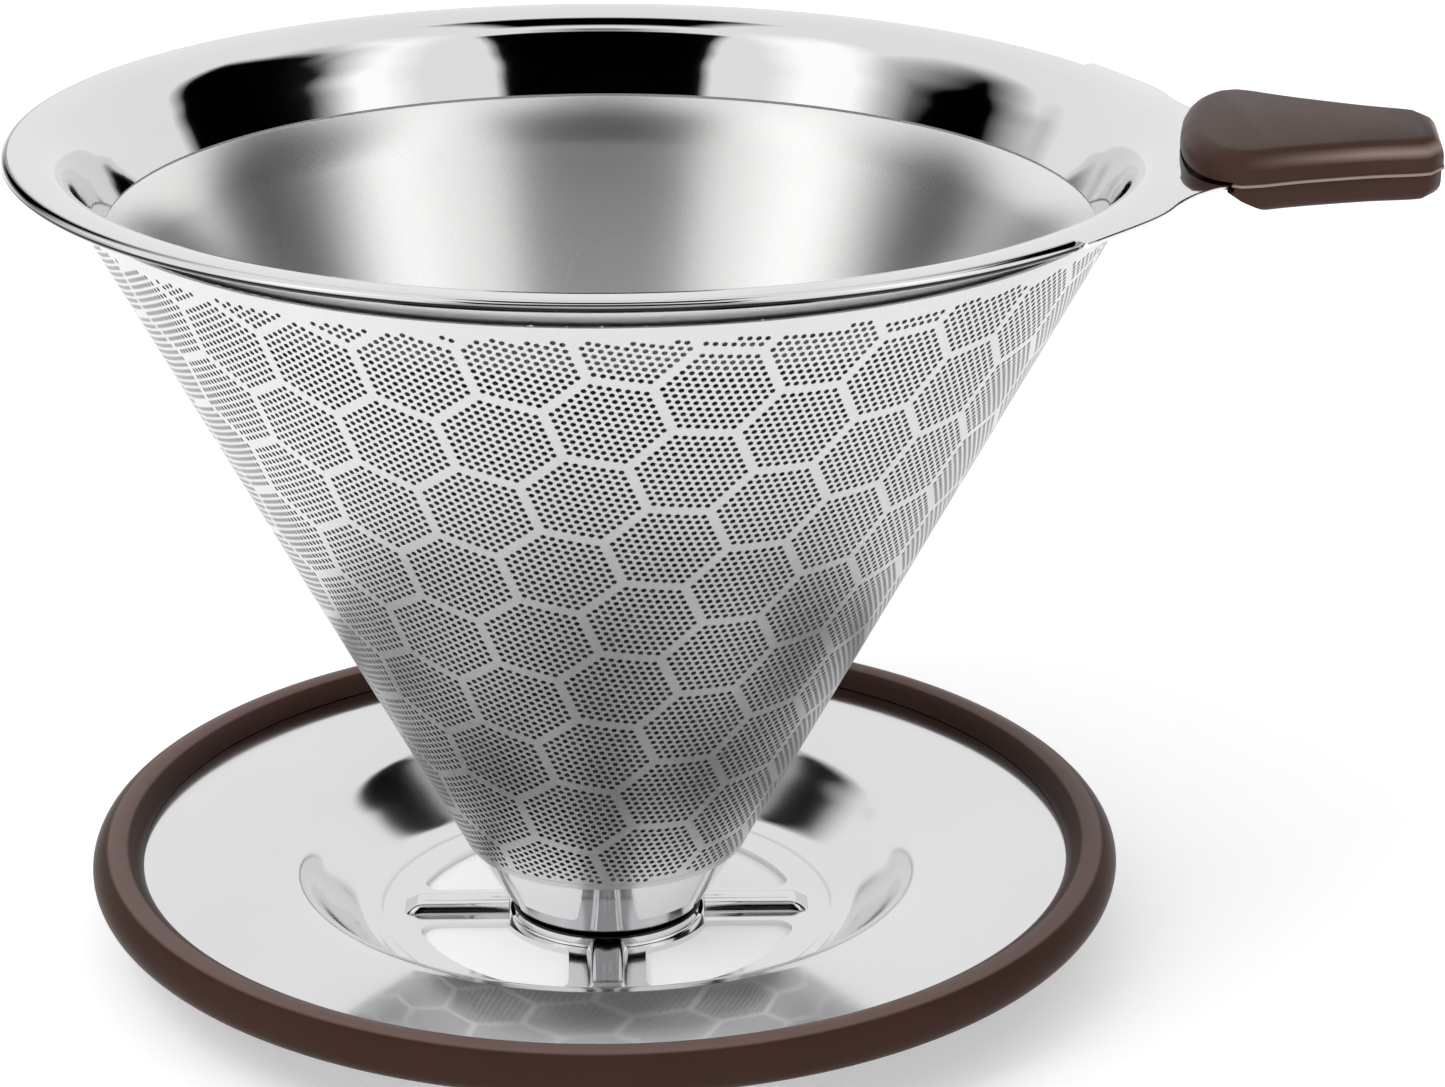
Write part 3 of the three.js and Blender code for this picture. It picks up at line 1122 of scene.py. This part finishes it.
@dataclass
class PerforatedSheet:
    """Outer cone: real laser-cut holes in a rolled sheet, with plain edges and a seam."""

    cone: Cone
    finish: SatinSheet
    edge: CutEdge
    pattern: Honeycomb = field(default_factory=Honeycomb)
    bottom_z: float = 10.4
    holes_top_z: float = 85.3
    top_z: float = 86.6
    thickness: float = 0.45
    hole_size: float = 0.54
    sectors: int = 6
    seam_half: float = 1.2
    hem: float = 0.55
    proud: float = 0.02
    edge_clear: float = 0.6

    def tile(self, name: str, hole: bool) -> Tile:
        """One hexagonal tile of the blank, with or without its hole.

        Args:
            name: The tile's name.
            hole: Whether the tile is pierced.

        Returns:
            The tile's vertices in millimetres and its faces.
        """
        Bench.clear()
        corner = self.pattern.pitch / math.sqrt(3.0)
        bpy.ops.mesh.primitive_circle_add(vertices=6, radius=corner * MM, fill_type="NGON")
        obj = bpy.context.object
        obj.name = name
        if hole:
            Bench.edit(obj)
            rim = (self.pattern.pitch - self.hole_size) / 2
            bpy.ops.mesh.select_mode(type="FACE")
            bpy.ops.mesh.inset(thickness=rim * MM, use_boundary=True)
            bpy.ops.mesh.delete(type="FACE")
            bpy.ops.mesh.select_mode(type="VERT")
            bpy.ops.object.mode_set(mode="OBJECT")
        angle = math.radians(self.pattern.tilt_degrees + 30.0)
        turn = Matrix.Rotation(angle, 4, "Z") @ Matrix.Diagonal((1 / MM, 1 / MM, 1 / MM, 1.0))
        obj.data.transform(turn)
        vertices = np.array([v.co[:] for v in obj.data.vertices])
        faces = [list(p.vertices) for p in obj.data.polygons]
        bpy.data.objects.remove(obj)
        return vertices, faces

    def copies(self, tile: Tile, places: np.ndarray, first: int) -> Tile:
        """Copies a tile to many places, with its faces numbered from a first vertex.

        Args:
            tile: The tile.
            places: Rows of (x, y).
            first: The first copy's first vertex number.

        Returns:
            The vertices and faces of all copies.
        """
        vertices, faces = tile
        spots = np.zeros((len(places), 1, 3))
        spots[:, 0, :2] = places
        moved = (vertices[None] + spots).reshape(-1, 3)
        starts = (first + k * len(vertices) for k in range(len(places)))
        numbered = [[v + start for v in face] for start in starts for face in faces]
        return moved, numbered

    def sector(self, number: int, pierced: np.ndarray, plain: np.ndarray) -> bpy.types.Object:
        """Rolls one sector of the blank and gives it its thickness.

        Args:
            number: The sector's number, from 1.
            pierced: Places of the tiles with a hole.
            plain: Places of the tiles without one.

        Returns:
            The sector as a closed sheet.
        """
        holes, hole_faces = self.copies(self.tile("open_tile", True), pierced, 0)
        solid, solid_faces = self.copies(self.tile("plain_tile", False), plain, len(holes))
        mesh = bpy.data.meshes.new(f"perforated_sheet_{number}")
        mesh.from_pydata(np.concatenate([holes, solid]) * MM, [], hole_faces + solid_faces)
        obj = bpy.data.objects.new(mesh.name, mesh)
        bpy.context.scene.collection.objects.link(obj)
        Bench.edit(obj)
        bpy.ops.mesh.remove_doubles(threshold=0.02 * MM)
        bpy.ops.object.mode_set(mode="OBJECT")
        return self.rolled(obj)

    def rolled(self, obj: bpy.types.Object, proud: float = 0.0) -> bpy.types.Object:
        """Rolls a flat blank, lying in XY in metres, onto the cone and thickens it inwards.

        Args:
            obj: The blank.
            proud: How far both faces stand out of the sheet's own.

        Returns:
            The rolled sheet.
        """
        flat = np.empty(len(obj.data.vertices) * 3)
        obj.data.vertices.foreach_get("co", flat)
        points = flat.reshape(-1, 3) / MM
        points[:, 2] += proud
        obj.data.vertices.foreach_set("co", (self.cone.roll(points) * MM).ravel())
        obj.data.update()
        if outward(obj.data.polygons[0]) < 0:
            Bench.edit(obj)
            bpy.ops.mesh.flip_normals()
            bpy.ops.object.mode_set(mode="OBJECT")
        thickness = (self.thickness + 2 * proud) * MM
        Bench.modify(obj, "SOLIDIFY", thickness=thickness, offset=-1.0, material_offset_rim=1)
        Bench.smooth(obj, 30)
        return obj

    def ring(self, name: str, low: float, high: float) -> bpy.types.Object:
        """A plain band round the cone that covers the ragged edge of the tiles.

        Args:
            name: The band's name.
            low: Its lower height.
            high: Its upper height.

        Returns:
            The band.
        """
        outer, inner = -self.proud, self.thickness + self.proud
        outline = [
            (self.cone.radius(low, outer), low),
            (self.cone.radius(high, outer), high),
            (self.cone.radius(high, inner), high),
            (self.cone.radius(low, inner), low),
        ]
        ring = Bench.spun(name, outline, LARGE_STEPS)
        Bench.smooth(ring, 30)
        return ring

    def seam(self) -> bpy.types.Object:
        """The lapped strip that closes the rolled sheet at the back.

        Returns:
            The strip.
        """
        Bench.clear()
        low, high = self.cone.reach(self.bottom_z), self.cone.reach(self.top_z)
        bpy.ops.mesh.primitive_grid_add(x_subdivisions=60, y_subdivisions=6, size=1.0)
        obj = bpy.context.object
        obj.name = obj.data.name = "sheet_seam"
        shape = Matrix.Diagonal(((high - low) * MM, 2 * self.seam_half * MM, 1.0, 1.0))
        obj.data.transform(Matrix.Translation(((low + high) / 2 * MM, 0, 0)) @ shape)
        half_turn = math.pi * math.sin(self.cone.half_angle)
        obj.data.transform(Matrix.Rotation(half_turn, 4, "Z"))
        return self.rolled(obj, self.proud * 1.5)

    def build(self) -> list[bpy.types.Object]:
        """Builds the pierced sectors, the plain bands and the seam.

        Returns:
            The pieces.
        """
        low, high = self.cone.reach(self.bottom_z), self.cone.reach(self.top_z)
        holes_low = low + self.hem + self.pattern.pitch / 2
        holes_high = self.cone.reach(self.holes_top_z) - self.pattern.pitch / 2
        points = self.pattern.lattice(self.pattern.pitch, self.pattern.tilt_degrees + 30.0, high)
        reach = np.hypot(points[:, 0], points[:, 1])
        angle = np.arctan2(points[:, 1], points[:, 0])
        half_turn = math.pi * math.sin(self.cone.half_angle)
        from_seam = (half_turn - np.abs(angle)) * reach
        inside = (reach > low) & (reach < high - self.edge_clear)
        inside &= from_seam > self.pattern.pitch / 2
        points, reach, angle, from_seam = (v[inside] for v in (points, reach, angle, from_seam))
        pierced = ~self.pattern.on_band(points, high)
        pierced &= (reach > holes_low) & (reach < holes_high)
        pierced &= from_seam > self.seam_half + self.pattern.pitch / 2
        log.info("perforated sheet: %d holes", int(pierced.sum()))
        edges = np.quantile(angle, np.linspace(0, 1, self.sectors + 1))
        edges[-1] += 1.0
        pieces = []
        for k in range(self.sectors):
            mine = (angle >= edges[k]) & (angle < edges[k + 1])
            pieces.append(self.sector(k + 1, points[mine & pierced], points[mine & ~pierced]))
        pieces.append(self.ring("sheet_top_band", self.holes_top_z, self.top_z))
        hem_top = self.bottom_z + self.hem
        pieces.append(self.ring("sheet_bottom_hem", self.bottom_z - 0.25, hem_top))
        pieces.append(self.seam())
        skin, edge = self.finish.build(), self.edge.build()
        for piece in pieces:
            Bench.dress(piece, skin, edge)
        return pieces


@dataclass
class MeshCone:
    """Inner cone of fine woven mesh, whose outer face behind the holes has painted shade."""

    cone: Cone
    finish: WovenMesh
    shadow: WovenMesh
    bottom_z: float = 12.9
    top_z: float = 81.7
    inset: float = 0.75
    thickness: float = 0.3

    def build(self) -> bpy.types.Object:
        """Spins the mesh as one thin sheet.

        Returns:
            The mesh cone.
        """
        levels = np.linspace(self.bottom_z, self.top_z, 14)
        path = [(self.cone.radius(z, self.inset), float(z)) for z in levels]
        mesh = Bench.spun("mesh_lining", sheet(path, self.thickness), LARGE_STEPS)
        # Faces that look out, seen through the holes, take the copy with painted shade.
        for face in mesh.data.polygons:
            face.material_index = int(outward(face) > 0)
        Bench.smooth(mesh)
        Bench.dress(mesh, self.finish.build(), self.shadow.build())
        return mesh


@dataclass
class TipCup:
    """Polished closed cup at the tip, on a short spigot."""

    cone: Cone
    finish: PolishedSteel
    spigot_radius: float = 9.8
    spigot_bottom: float = 1.0
    spigot_top: float = 2.3
    shoulder_radius: float = 11.1
    shoulder_z: float = 3.0
    round: float = 0.8
    wall_top: float = 10.1
    lip_z: float = 12.6
    inset: float = 0.75
    wall: float = 0.6
    floor: float = 0.8

    def profile(self) -> list[Point]:
        """Closed outline from the underside's centre out, up and back down inside.

        Returns:
            Corners as (radius, height).
        """
        cone, s = self.cone, self
        side = curve(
            [
                (s.shoulder_radius - 0.07, s.shoulder_z - 0.25),
                (s.shoulder_radius + 0.55, s.shoulder_z + 0.75),
                (12.95, 5.8),
                (14.3, 8.0),
                (cone.radius(s.wall_top, 0.18), s.wall_top),
            ],
            5,
        )
        return [
            (0.0, s.spigot_bottom),
            *arc(s.spigot_radius - 0.3, s.spigot_bottom + 0.3, 0.3, -90, 0, 4),
            *arc(s.spigot_radius + 0.15, s.spigot_top - 0.15, 0.15, 180, 90, 3),
            *arc(s.shoulder_radius - s.round, s.spigot_top + s.round, s.round, -80, -25, 6),
            *side,
            (cone.radius(s.wall_top, s.inset), s.wall_top + 0.02),
            (cone.radius(s.lip_z, s.inset), s.lip_z),
            (cone.radius(s.lip_z, s.inset + s.wall), s.lip_z),
            (cone.radius(s.wall_top, s.inset + s.wall), s.wall_top),
            (s.shoulder_radius - 0.7, s.shoulder_z + 0.4),
            *arc(s.spigot_radius - 2.0, s.spigot_bottom + s.floor + 1.2, 1.2, 0, -90, 5),
            (0.0, s.spigot_bottom + s.floor),
        ]

    def build(self) -> bpy.types.Object:
        """Spins the cup.

        Returns:
            The cup.
        """
        cup = Bench.spun("cup_shell", self.profile(), SMALL_STEPS, on_axis=True)
        Bench.smooth(cup, 40)
        Bench.dress(cup, self.finish.build())
        return cup


# ---- Stand ---------------------------------------------------------------------------------------


@dataclass
class StandDish:
    """Pressed dish: flat hub, four ribbed spokes, windows, curved wall and flat brim."""

    finish: PolishedSteel
    cut_edge: CutEdge
    thickness: float = 0.7
    ridge: float = 0.16
    ridge_radius: float = 25.3
    ridge_half: float = 0.35
    floor_radius: float = 26.0
    brim_under: float = 8.6
    brim_inner: float = 38.5
    radius: float = 55.5
    hub_radius: float = 12.0
    window_radius: float = 21.8
    window_corner: float = 2.0
    hub_corner: float = 1.0
    spoke_width: float = 8.5
    spoke_degrees: float = 7.5
    rib_start: float = 11.05
    rib_end: float = 22.9
    rib_height: float = 1.0
    rib_half: float = 2.3
    rib_flank: float = 1.0
    rib_end_run: float = 2.2
    groove_depth: float = 0.12
    groove_half: float = 0.5

    def profile(self) -> list[Point]:
        """The under face from the axis to the brim's edge, as a closed sheet outline.

        Returns:
            Corners as (radius, height).
        """
        wall = curve(
            [
                (self.floor_radius, 0.0),
                (26.6, 0.14),
                (28.6, 1.1),
                (32.2, 4.4),
                (35.3, 7.5),
                (self.brim_inner, self.brim_under),
            ],
            8,
        )
        hub = [(0.0, 0.0), (self.hub_radius / 2, 0.0), (self.window_radius, 0.0)]
        ridge = [
            (r, self.ridge * max(0.0, 1 - abs(r - self.ridge_radius) / self.ridge_half))
            for r in (24.9, self.ridge_radius, 25.7)
        ]
        brim_end = (self.radius - self.thickness / 2, self.brim_under)
        outline = sheet([*hub, *ridge, *wall, brim_end], self.thickness)
        started = [p for p in outline if p[0] >= -1e-9]
        return [p for p in started if p[0] > 1e-9 or p[1] in (0.0, self.thickness)]

    def spoke_turn(self, number: int) -> Matrix:
        """The turn from local +X to one of the four spokes."""
        return Matrix.Rotation(math.radians(self.spoke_degrees + 90 * number), 4, "Z")

    def window(self) -> list[Point]:
        """One window between two spokes that lie along local +X and +Y.

        Returns:
            Corners as (x, y).
        """
        half, w, h = self.spoke_width / 2, self.window_corner, self.hub_corner
        outer_reach, inner_reach = self.window_radius - w, self.hub_radius + h
        outer = math.degrees(math.asin((half + w) / outer_reach))
        inner = math.degrees(math.asin((half + h) / inner_reach))
        outer_x = outer_reach * math.cos(math.radians(outer))
        inner_x = inner_reach * math.cos(math.radians(inner))
        return [
            *arc(outer_x, half + w, w, -90, outer, 8),
            *arc(0, 0, self.window_radius, outer, 90 - outer, 24)[1:],
            *arc(half + w, outer_x, w, 90 - outer, 180, 8)[1:],
            *arc(half + h, inner_x, h, 180, 270 - inner, 5),
            *arc(0, 0, self.hub_radius, 90 - inner, inner, 12)[1:],
            *arc(inner_x, half + h, h, 180 + inner, 270, 5)[1:],
        ]

    def rib(self) -> bpy.types.Object:
        """A pressed rib along local +X with soft flanks and a rounded outer end.

        Returns:
            The rib.
        """
        Bench.clear()
        length = self.rib_end - self.rib_start
        bpy.ops.mesh.primitive_grid_add(x_subdivisions=48, y_subdivisions=24, size=1.0)
        obj = bpy.context.object
        obj.name = obj.data.name = "rib"
        half = self.rib_half
        for v in obj.data.vertices:
            x = self.rib_start + (v.co.x + 0.5) * length
            y = v.co.y * 2 * half
            flank = min(1.0, (half - abs(y)) / self.rib_flank)
            end = min(1.0, (self.rib_end - x) / self.rib_end_run)
            rise = math.sin(flank * math.pi / 2) ** 1.2 * math.sin(end * math.pi / 2)
            dip = math.exp(-((y / self.groove_half) ** 2))
            groove = self.groove_depth * dip * (end > 0.99)
            z = self.thickness - 0.05 + (self.rib_height + 0.05) * rise - groove
            v.co = Vector((x, y, z)) * MM
        Bench.edit(obj)
        bpy.ops.mesh.extrude_region_move(TRANSFORM_OT_translate={"value": (0, 0, -0.2 * MM)})
        bpy.ops.mesh.select_all(action="DESELECT")
        bpy.ops.object.mode_set(mode="OBJECT")
        Bench.weld(obj)
        return obj

    def build(self) -> bpy.types.Object:
        """Spins the dish, cuts the windows and adds the ribs.

        Returns:
            The dish.
        """
        dish = Bench.spun("dish_sheet", self.profile(), LARGE_STEPS, on_axis=True)
        for k in range(4):
            cutter = Bench.prism("window", self.window(), -1, self.thickness + 1)
            cutter.data.transform(self.spoke_turn(k))
            Bench.combine(dish, cutter, Way.CUT)
        Bench.weld(dish)
        limit = (self.window_radius + 0.5) * MM
        for face in dish.data.polygons:
            upright = abs(face.normal.z) < 0.3 and face.center.xy.length < limit
            face.material_index = int(upright)
        Bench.smooth(dish, 35)
        for k in range(4):
            rib = self.rib()
            rib.data.transform(self.spoke_turn(k))
            Bench.smooth(rib, 60)
            Bench.pick(dish)
            rib.select_set(True)
            bpy.ops.object.join()
        Bench.dress(dish, self.finish.build(), self.cut_edge.build())
        return dish


@dataclass
class HubCollar:
    """Short polished ring that the cup's spigot stands in."""

    finish: PolishedSteel
    radius: float = 10.75
    wall: float = 0.6
    bottom_z: float = 0.72
    top_z: float = 2.0

    def build(self) -> bpy.types.Object:
        """Spins the ring with a rounded top and a small foot.

        Returns:
            The collar.
        """
        inner, half = self.radius - self.wall, self.wall / 2
        outline = [
            (inner, self.bottom_z),
            (self.radius + 0.18, self.bottom_z),
            (self.radius + 0.04, self.bottom_z + 0.16),
            (self.radius, self.bottom_z + 0.4),
            *arc(self.radius - half, self.top_z - half, half, 0, 180, 12),
        ]
        ring = Bench.spun("collar_ring", outline, SMALL_STEPS)
        Bench.smooth(ring, 40)
        Bench.dress(ring, self.finish.build())
        return ring


@dataclass
class EdgeRing:
    """Silicone ring stretched round the brim of the stand."""

    finish: Silicone
    centre_radius: float = 54.5
    centre_z: float = 9.0
    half_width: float = 2.8
    half_height: float = 2.5
    brim_under: float = 8.6
    brim_thickness: float = 0.7
    brim_radius: float = 55.5
    gap: float = 0.05

    def build(self) -> bpy.types.Object:
        """Spins the ring's oval section with a groove for the brim.

        Returns:
            The ring.
        """
        low, high = self.brim_under - self.gap, self.brim_under + self.brim_thickness + self.gap
        groove = self.brim_radius + self.gap
        below = math.asin((low - self.centre_z) / self.half_height)
        above = math.asin((high - self.centre_z) / self.half_height)
        angles = np.linspace(-math.pi - below, math.pi - above, 49)
        oval = [
            (
                self.centre_radius + self.half_width * math.cos(a),
                self.centre_z + self.half_height * math.sin(a),
            )
            for a in angles
        ]
        outline = [*oval, (groove, high), (groove, low)]
        ring = Bench.spun("silicone_ring", outline, 288)
        Bench.smooth(ring, 50)
        Bench.dress(ring, self.finish.build())
        return ring


# ---- Studio --------------------------------------------------------------------------------------


@dataclass(frozen=True)
class Card:
    """A dark or bright card with feathered edges that only shows as a reflection.

    Angles are in degrees as seen from the dripper, the spans are the card's angular size, and the
    distance is in metres.
    """

    azimuth: float
    elevation: float
    wide: float
    high: float
    feather: float = 0.12
    depth: float = 1.0
    distance: float = 1.2
    tone: float = 0.0
    level: bool = False

    def finish(self, name: str) -> bpy.types.Material:
        """Builds the card's finish: one plain tone, clear towards the edges.

        Args:
            name: The material's name.

        Returns:
            The material.
        """
        material = bpy.data.materials.new(name)
        nodes = Nodes(material)
        x, y, _ = nodes.axes()
        across = nodes.ranged(x.size(), 0.5 - self.feather, 0.5, self.depth, 0.0)
        up = nodes.ranged(y.size(), 0.5 - self.feather, 0.5, 1.0, 0.0)
        share = across * up
        shine = {"Color": (1.0, 1.0, 1.0, 1.0), "Strength": self.tone}
        plain = nodes.add("ShaderNodeEmission", inputs=shine)
        clear = nodes.add("ShaderNodeBsdfTransparent")
        mixed = nodes.add("ShaderNodeMixShader", inputs={0: share, 1: clear, 2: plain})
        nodes.tree.links.new(mixed.socket, nodes.output.inputs["Surface"])
        return material


@dataclass
class Studio:
    """Pale floor, even white surroundings, dark and bright cards, the lamp and the camera."""

    focal_share: float = 2.6261
    sensor: float = 36.0
    camera_place: tuple[float, float, float] = (50.9, -386.7, 190.3)
    heading: float = 95.60
    down: float = 20.49
    roll: float = 0.30
    floor_size: float = 6.0  # metres
    lamp_place: tuple[float, float, float] = (-0.5, -0.45, 1.0)  # metres
    lamp_aim: tuple[float, float, float] = (0.0, 0.0, 0.05)  # metres
    lamp_size: float = 0.7  # metres
    lamp_power: float = 4.0
    surround: float = 0.92
    eye: tuple[float, float, float] = (0.0, 0.0, 60.0)
    cards: tuple[Card, ...] = (
        Card(azimuth=277.0, elevation=51.5, wide=66.0, high=25.0, feather=0.06),
        Card(azimuth=277.0, elevation=25.0, wide=66.0, high=30.0, feather=0.1, depth=0.5),
        Card(azimuth=277.0, elevation=67.0, wide=60.0, high=10.0, feather=0.4, depth=0.8),
        Card(azimuth=25.0, elevation=35.0, wide=42.0, high=36.0, feather=0.14, distance=0.42),
        Card(azimuth=25.0, elevation=4.0, wide=42.0, high=28.0, feather=0.2, depth=0.35),
        Card(azimuth=27.0, elevation=40.0, wide=44.0, high=54.0, feather=0.3, distance=0.15),
        Card(azimuth=159.0, elevation=32.0, wide=50.0, high=52.0, feather=0.3, distance=0.137),
        Card(azimuth=163.0, elevation=8.0, wide=38.0, high=28.0, feather=0.15, depth=0.3),
        Card(azimuth=97.0, elevation=88.5, wide=30.0, high=30.0, feather=0.15, level=True),
        Card(azimuth=345.0, elevation=42.0, wide=34.0, high=44.0, feather=0.3, tone=1.25),
        Card(azimuth=214.0, elevation=42.0, wide=34.0, high=44.0, feather=0.3, tone=1.25),
    )

    def floor(self) -> None:
        """Adds the pale floor at the height that the dripper stands on."""
        Bench.clear()
        bpy.ops.mesh.primitive_plane_add(size=self.floor_size, location=(0, 0, CAD_BOX[0].z))
        floor = bpy.context.object
        floor.name = "table_top"
        Bench.dress(floor, PaleFloor().build())

    def surroundings(self) -> None:
        """An even soft white surround."""
        world = bpy.data.worlds.new("surround")
        bpy.context.scene.world = world
        world.use_nodes = True
        shade = world.node_tree.nodes["Background"]
        shade.inputs["Color"].default_value = (1.0, 1.0, 1.0, 1.0)
        shade.inputs["Strength"].default_value = self.surround
        bpy.context.scene.view_settings.view_transform = "Standard"

    def hang_card(self, number: int, card: Card) -> None:
        """Hangs one card facing the dripper, unseen by the camera.

        Args:
            number: The card's number, for its name.
            card: The card.
        """
        a, e = math.radians(card.azimuth), math.radians(card.elevation)
        away = Vector((math.cos(a) * math.cos(e), math.sin(a) * math.cos(e), math.sin(e)))
        Bench.clear()
        bpy.ops.mesh.primitive_plane_add(size=1.0)
        obj = bpy.context.object
        obj.name = f"card_{number}"
        level = Vector((-math.sin(a), math.cos(a), 0.0))
        turn = Matrix((level, away.cross(level), away)).transposed().to_4x4()
        spread = 1.0 if card.level else math.cos(e)
        wide = 2 * card.distance * math.tan(math.radians(card.wide) / 2) * spread
        high = 2 * card.distance * math.tan(math.radians(card.high) / 2)
        place = Matrix.Translation(Vector(self.eye) * MM + away * card.distance)
        obj.matrix_world = place @ turn @ Matrix.Diagonal((wide, high, 1.0, 1.0))
        Bench.dress(obj, card.finish(obj.name))
        obj.visible_camera = False
        obj.visible_shadow = False
        obj.visible_diffuse = False

    def soft_light(self) -> None:
        """One large soft lamp above and to the left, for a gentle gradient."""
        Bench.clear()
        bpy.ops.object.light_add(type="AREA", location=self.lamp_place)
        lamp = bpy.context.object
        lamp.name = "soft_lamp"
        lamp.data.shape = "DISK"
        lamp.data.size = self.lamp_size
        lamp.data.energy = self.lamp_power
        lamp.visible_glossy = False
        aim = Vector(self.lamp_aim) - lamp.location
        lamp.rotation_euler = aim.to_track_quat("-Z", "Y").to_euler()

    def camera(self) -> None:
        """Places the camera by its heading, downward angle and slight roll."""
        heading, down, roll = (math.radians(v) for v in (self.heading, self.down, self.roll))
        level = Vector((math.cos(heading), math.sin(heading), 0.0))
        ahead = level * math.cos(down) - Vector((0, 0, 1)) * math.sin(down)
        side = ahead.cross(Vector((0, 0, 1))).normalized()
        up = side.cross(ahead)
        right = side * math.cos(roll) + up * math.sin(roll)
        top = up * math.cos(roll) - side * math.sin(roll)
        turn = Matrix((right, top, -ahead)).transposed().to_4x4()
        Bench.clear()
        bpy.ops.object.camera_add()
        camera = bpy.context.object
        camera.matrix_world = Matrix.Translation(Vector(self.camera_place) * MM) @ turn
        camera.data.sensor_width = self.sensor
        camera.data.lens = self.focal_share * self.sensor
        camera.data.clip_start = 0.01
        bpy.context.scene.camera = camera

    def build(self) -> None:
        """Sets up the floor, the surround, the cards, the lamp and the camera."""
        self.floor()
        self.surroundings()
        for number, card in enumerate(self.cards, 1):
            self.hang_card(number, card)
        self.soft_light()
        self.camera()


# ---- Assembly ------------------------------------------------------------------------------------


def fit(piece: bpy.types.Object, body: str, node: str) -> None:
    """Makes a piece ride on a body in place of a solid of the frame, and reports it.

    Args:
        piece: The finished piece.
        body: The body that it moves with.
        node: The solid that it stands for.
    """
    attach(piece, body)
    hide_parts(node)
    log.info("%s: %d faces, for %s on %s", piece.name, len(piece.data.polygons), node, body)


@dataclass
class FilterCone:
    """The filter cone that lifts off the stand."""

    body: str = "cone"

    def build(self) -> None:
        """Builds and fits every piece of the cone."""
        cone = Cone()
        # Painted dark reflection on the outer face of the turned-down lip.
        lip_painted_reflection = (Line(low=80.0, high=90.42, radius=62.35),)
        polish = PolishedSteel(name="rim polish", lines=lip_painted_reflection)
        rim = RimFlange(cone, polish, SatinSheet(cone, "satin under face"))
        fit(rim.build(), self.body, "rim_flange")
        # Painted highlights: a soft one along the grip's rounded upper edge, growing towards the
        # outer end, and a thin one on the parting bead.
        shoulder_painted_highlight = Line(93.15, 93.35, radius=80.0, soft=0.6, fade=12.0, color=(0.23, 0.17, 0.15))
        bead = Line(90.9, 91.12, radius=68.0, soft=0.05, fade=2.0, color=(0.30, 0.23, 0.20))
        brown = Silicone(
            name="grip silicone",
            color=(0.050, 0.0260, 0.0205),
            worn=(0.060, 0.0330, 0.0265),
            lines=(shoulder_painted_highlight, bead),
        )
        grip = HandleGrip(brown)
        fit(grip.build(rim.tab_outline()), self.body, "handle_grip")
        perforated = PerforatedSheet(cone, SatinSheet(cone), CutEdge())
        for piece in perforated.build():
            fit(piece, self.body, "perforated_cone")
        # A darker, hardly metallic copy of the mesh finish: painted shade for the mesh's outer face
        # seen through the holes.
        dim = WovenMesh(
            cone,
            "mesh behind the holes",
            color=(0.07, 0.07, 0.07),
            gap_color=(0.025, 0.025, 0.025),
            metal=0.2,
        )
        mesh = MeshCone(cone, WovenMesh(cone), dim)
        fit(mesh.build(), self.body, "mesh_cone")
        # Painted shade on the cup's spigot and under its shoulder, where it stands in the collar.
        seam = (Line(low=-1.0, high=2.72),)
        cup_polish = PolishedSteel(name="cup polish", press_wave=0.12, lines=seam)
        fit(TipCup(cone, cup_polish).build(), self.body, "tip_cup")


@dataclass
class Stand:
    """The stand that stays on the mug."""

    body: str = "stand"

    def build(self) -> None:
        """Builds and fits every piece of the stand."""
        dish_polish = PolishedSteel(name="dish polish", press_wave=0.2, roughness=0.1)
        # The window walls take the near-black cut-edge finish, with painted shade.
        dish = StandDish(dish_polish, CutEdge(name="pressed edge"))
        fit(dish.build(), self.body, "stand_dish")
        # Painted shade on the collar's rounded top, under the cup's shoulder.
        seam = (Line(low=1.72, high=2.5),)
        collar_polish = PolishedSteel(name="collar polish", press_wave=0.1, lines=seam)
        fit(HubCollar(collar_polish).build(), self.body, "hub_collar")
        # Painted highlight along the top of the ring's crest.
        crest_painted_highlight = Line(low=11.36, high=13.0, soft=0.12, color=(0.15, 0.10, 0.088))
        ring = EdgeRing(Silicone(name="ring silicone", lines=(crest_painted_highlight,)))
        fit(ring.build(), self.body, "stand_ring")


def main() -> None:
    """Builds the studio, the cone and the stand."""
    logging.basicConfig(level=logging.INFO, format="%(name)s: %(message)s")
    Studio().build()
    FilterCone().build()
    Stand().build()


if __name__ == "__main__":
    main()
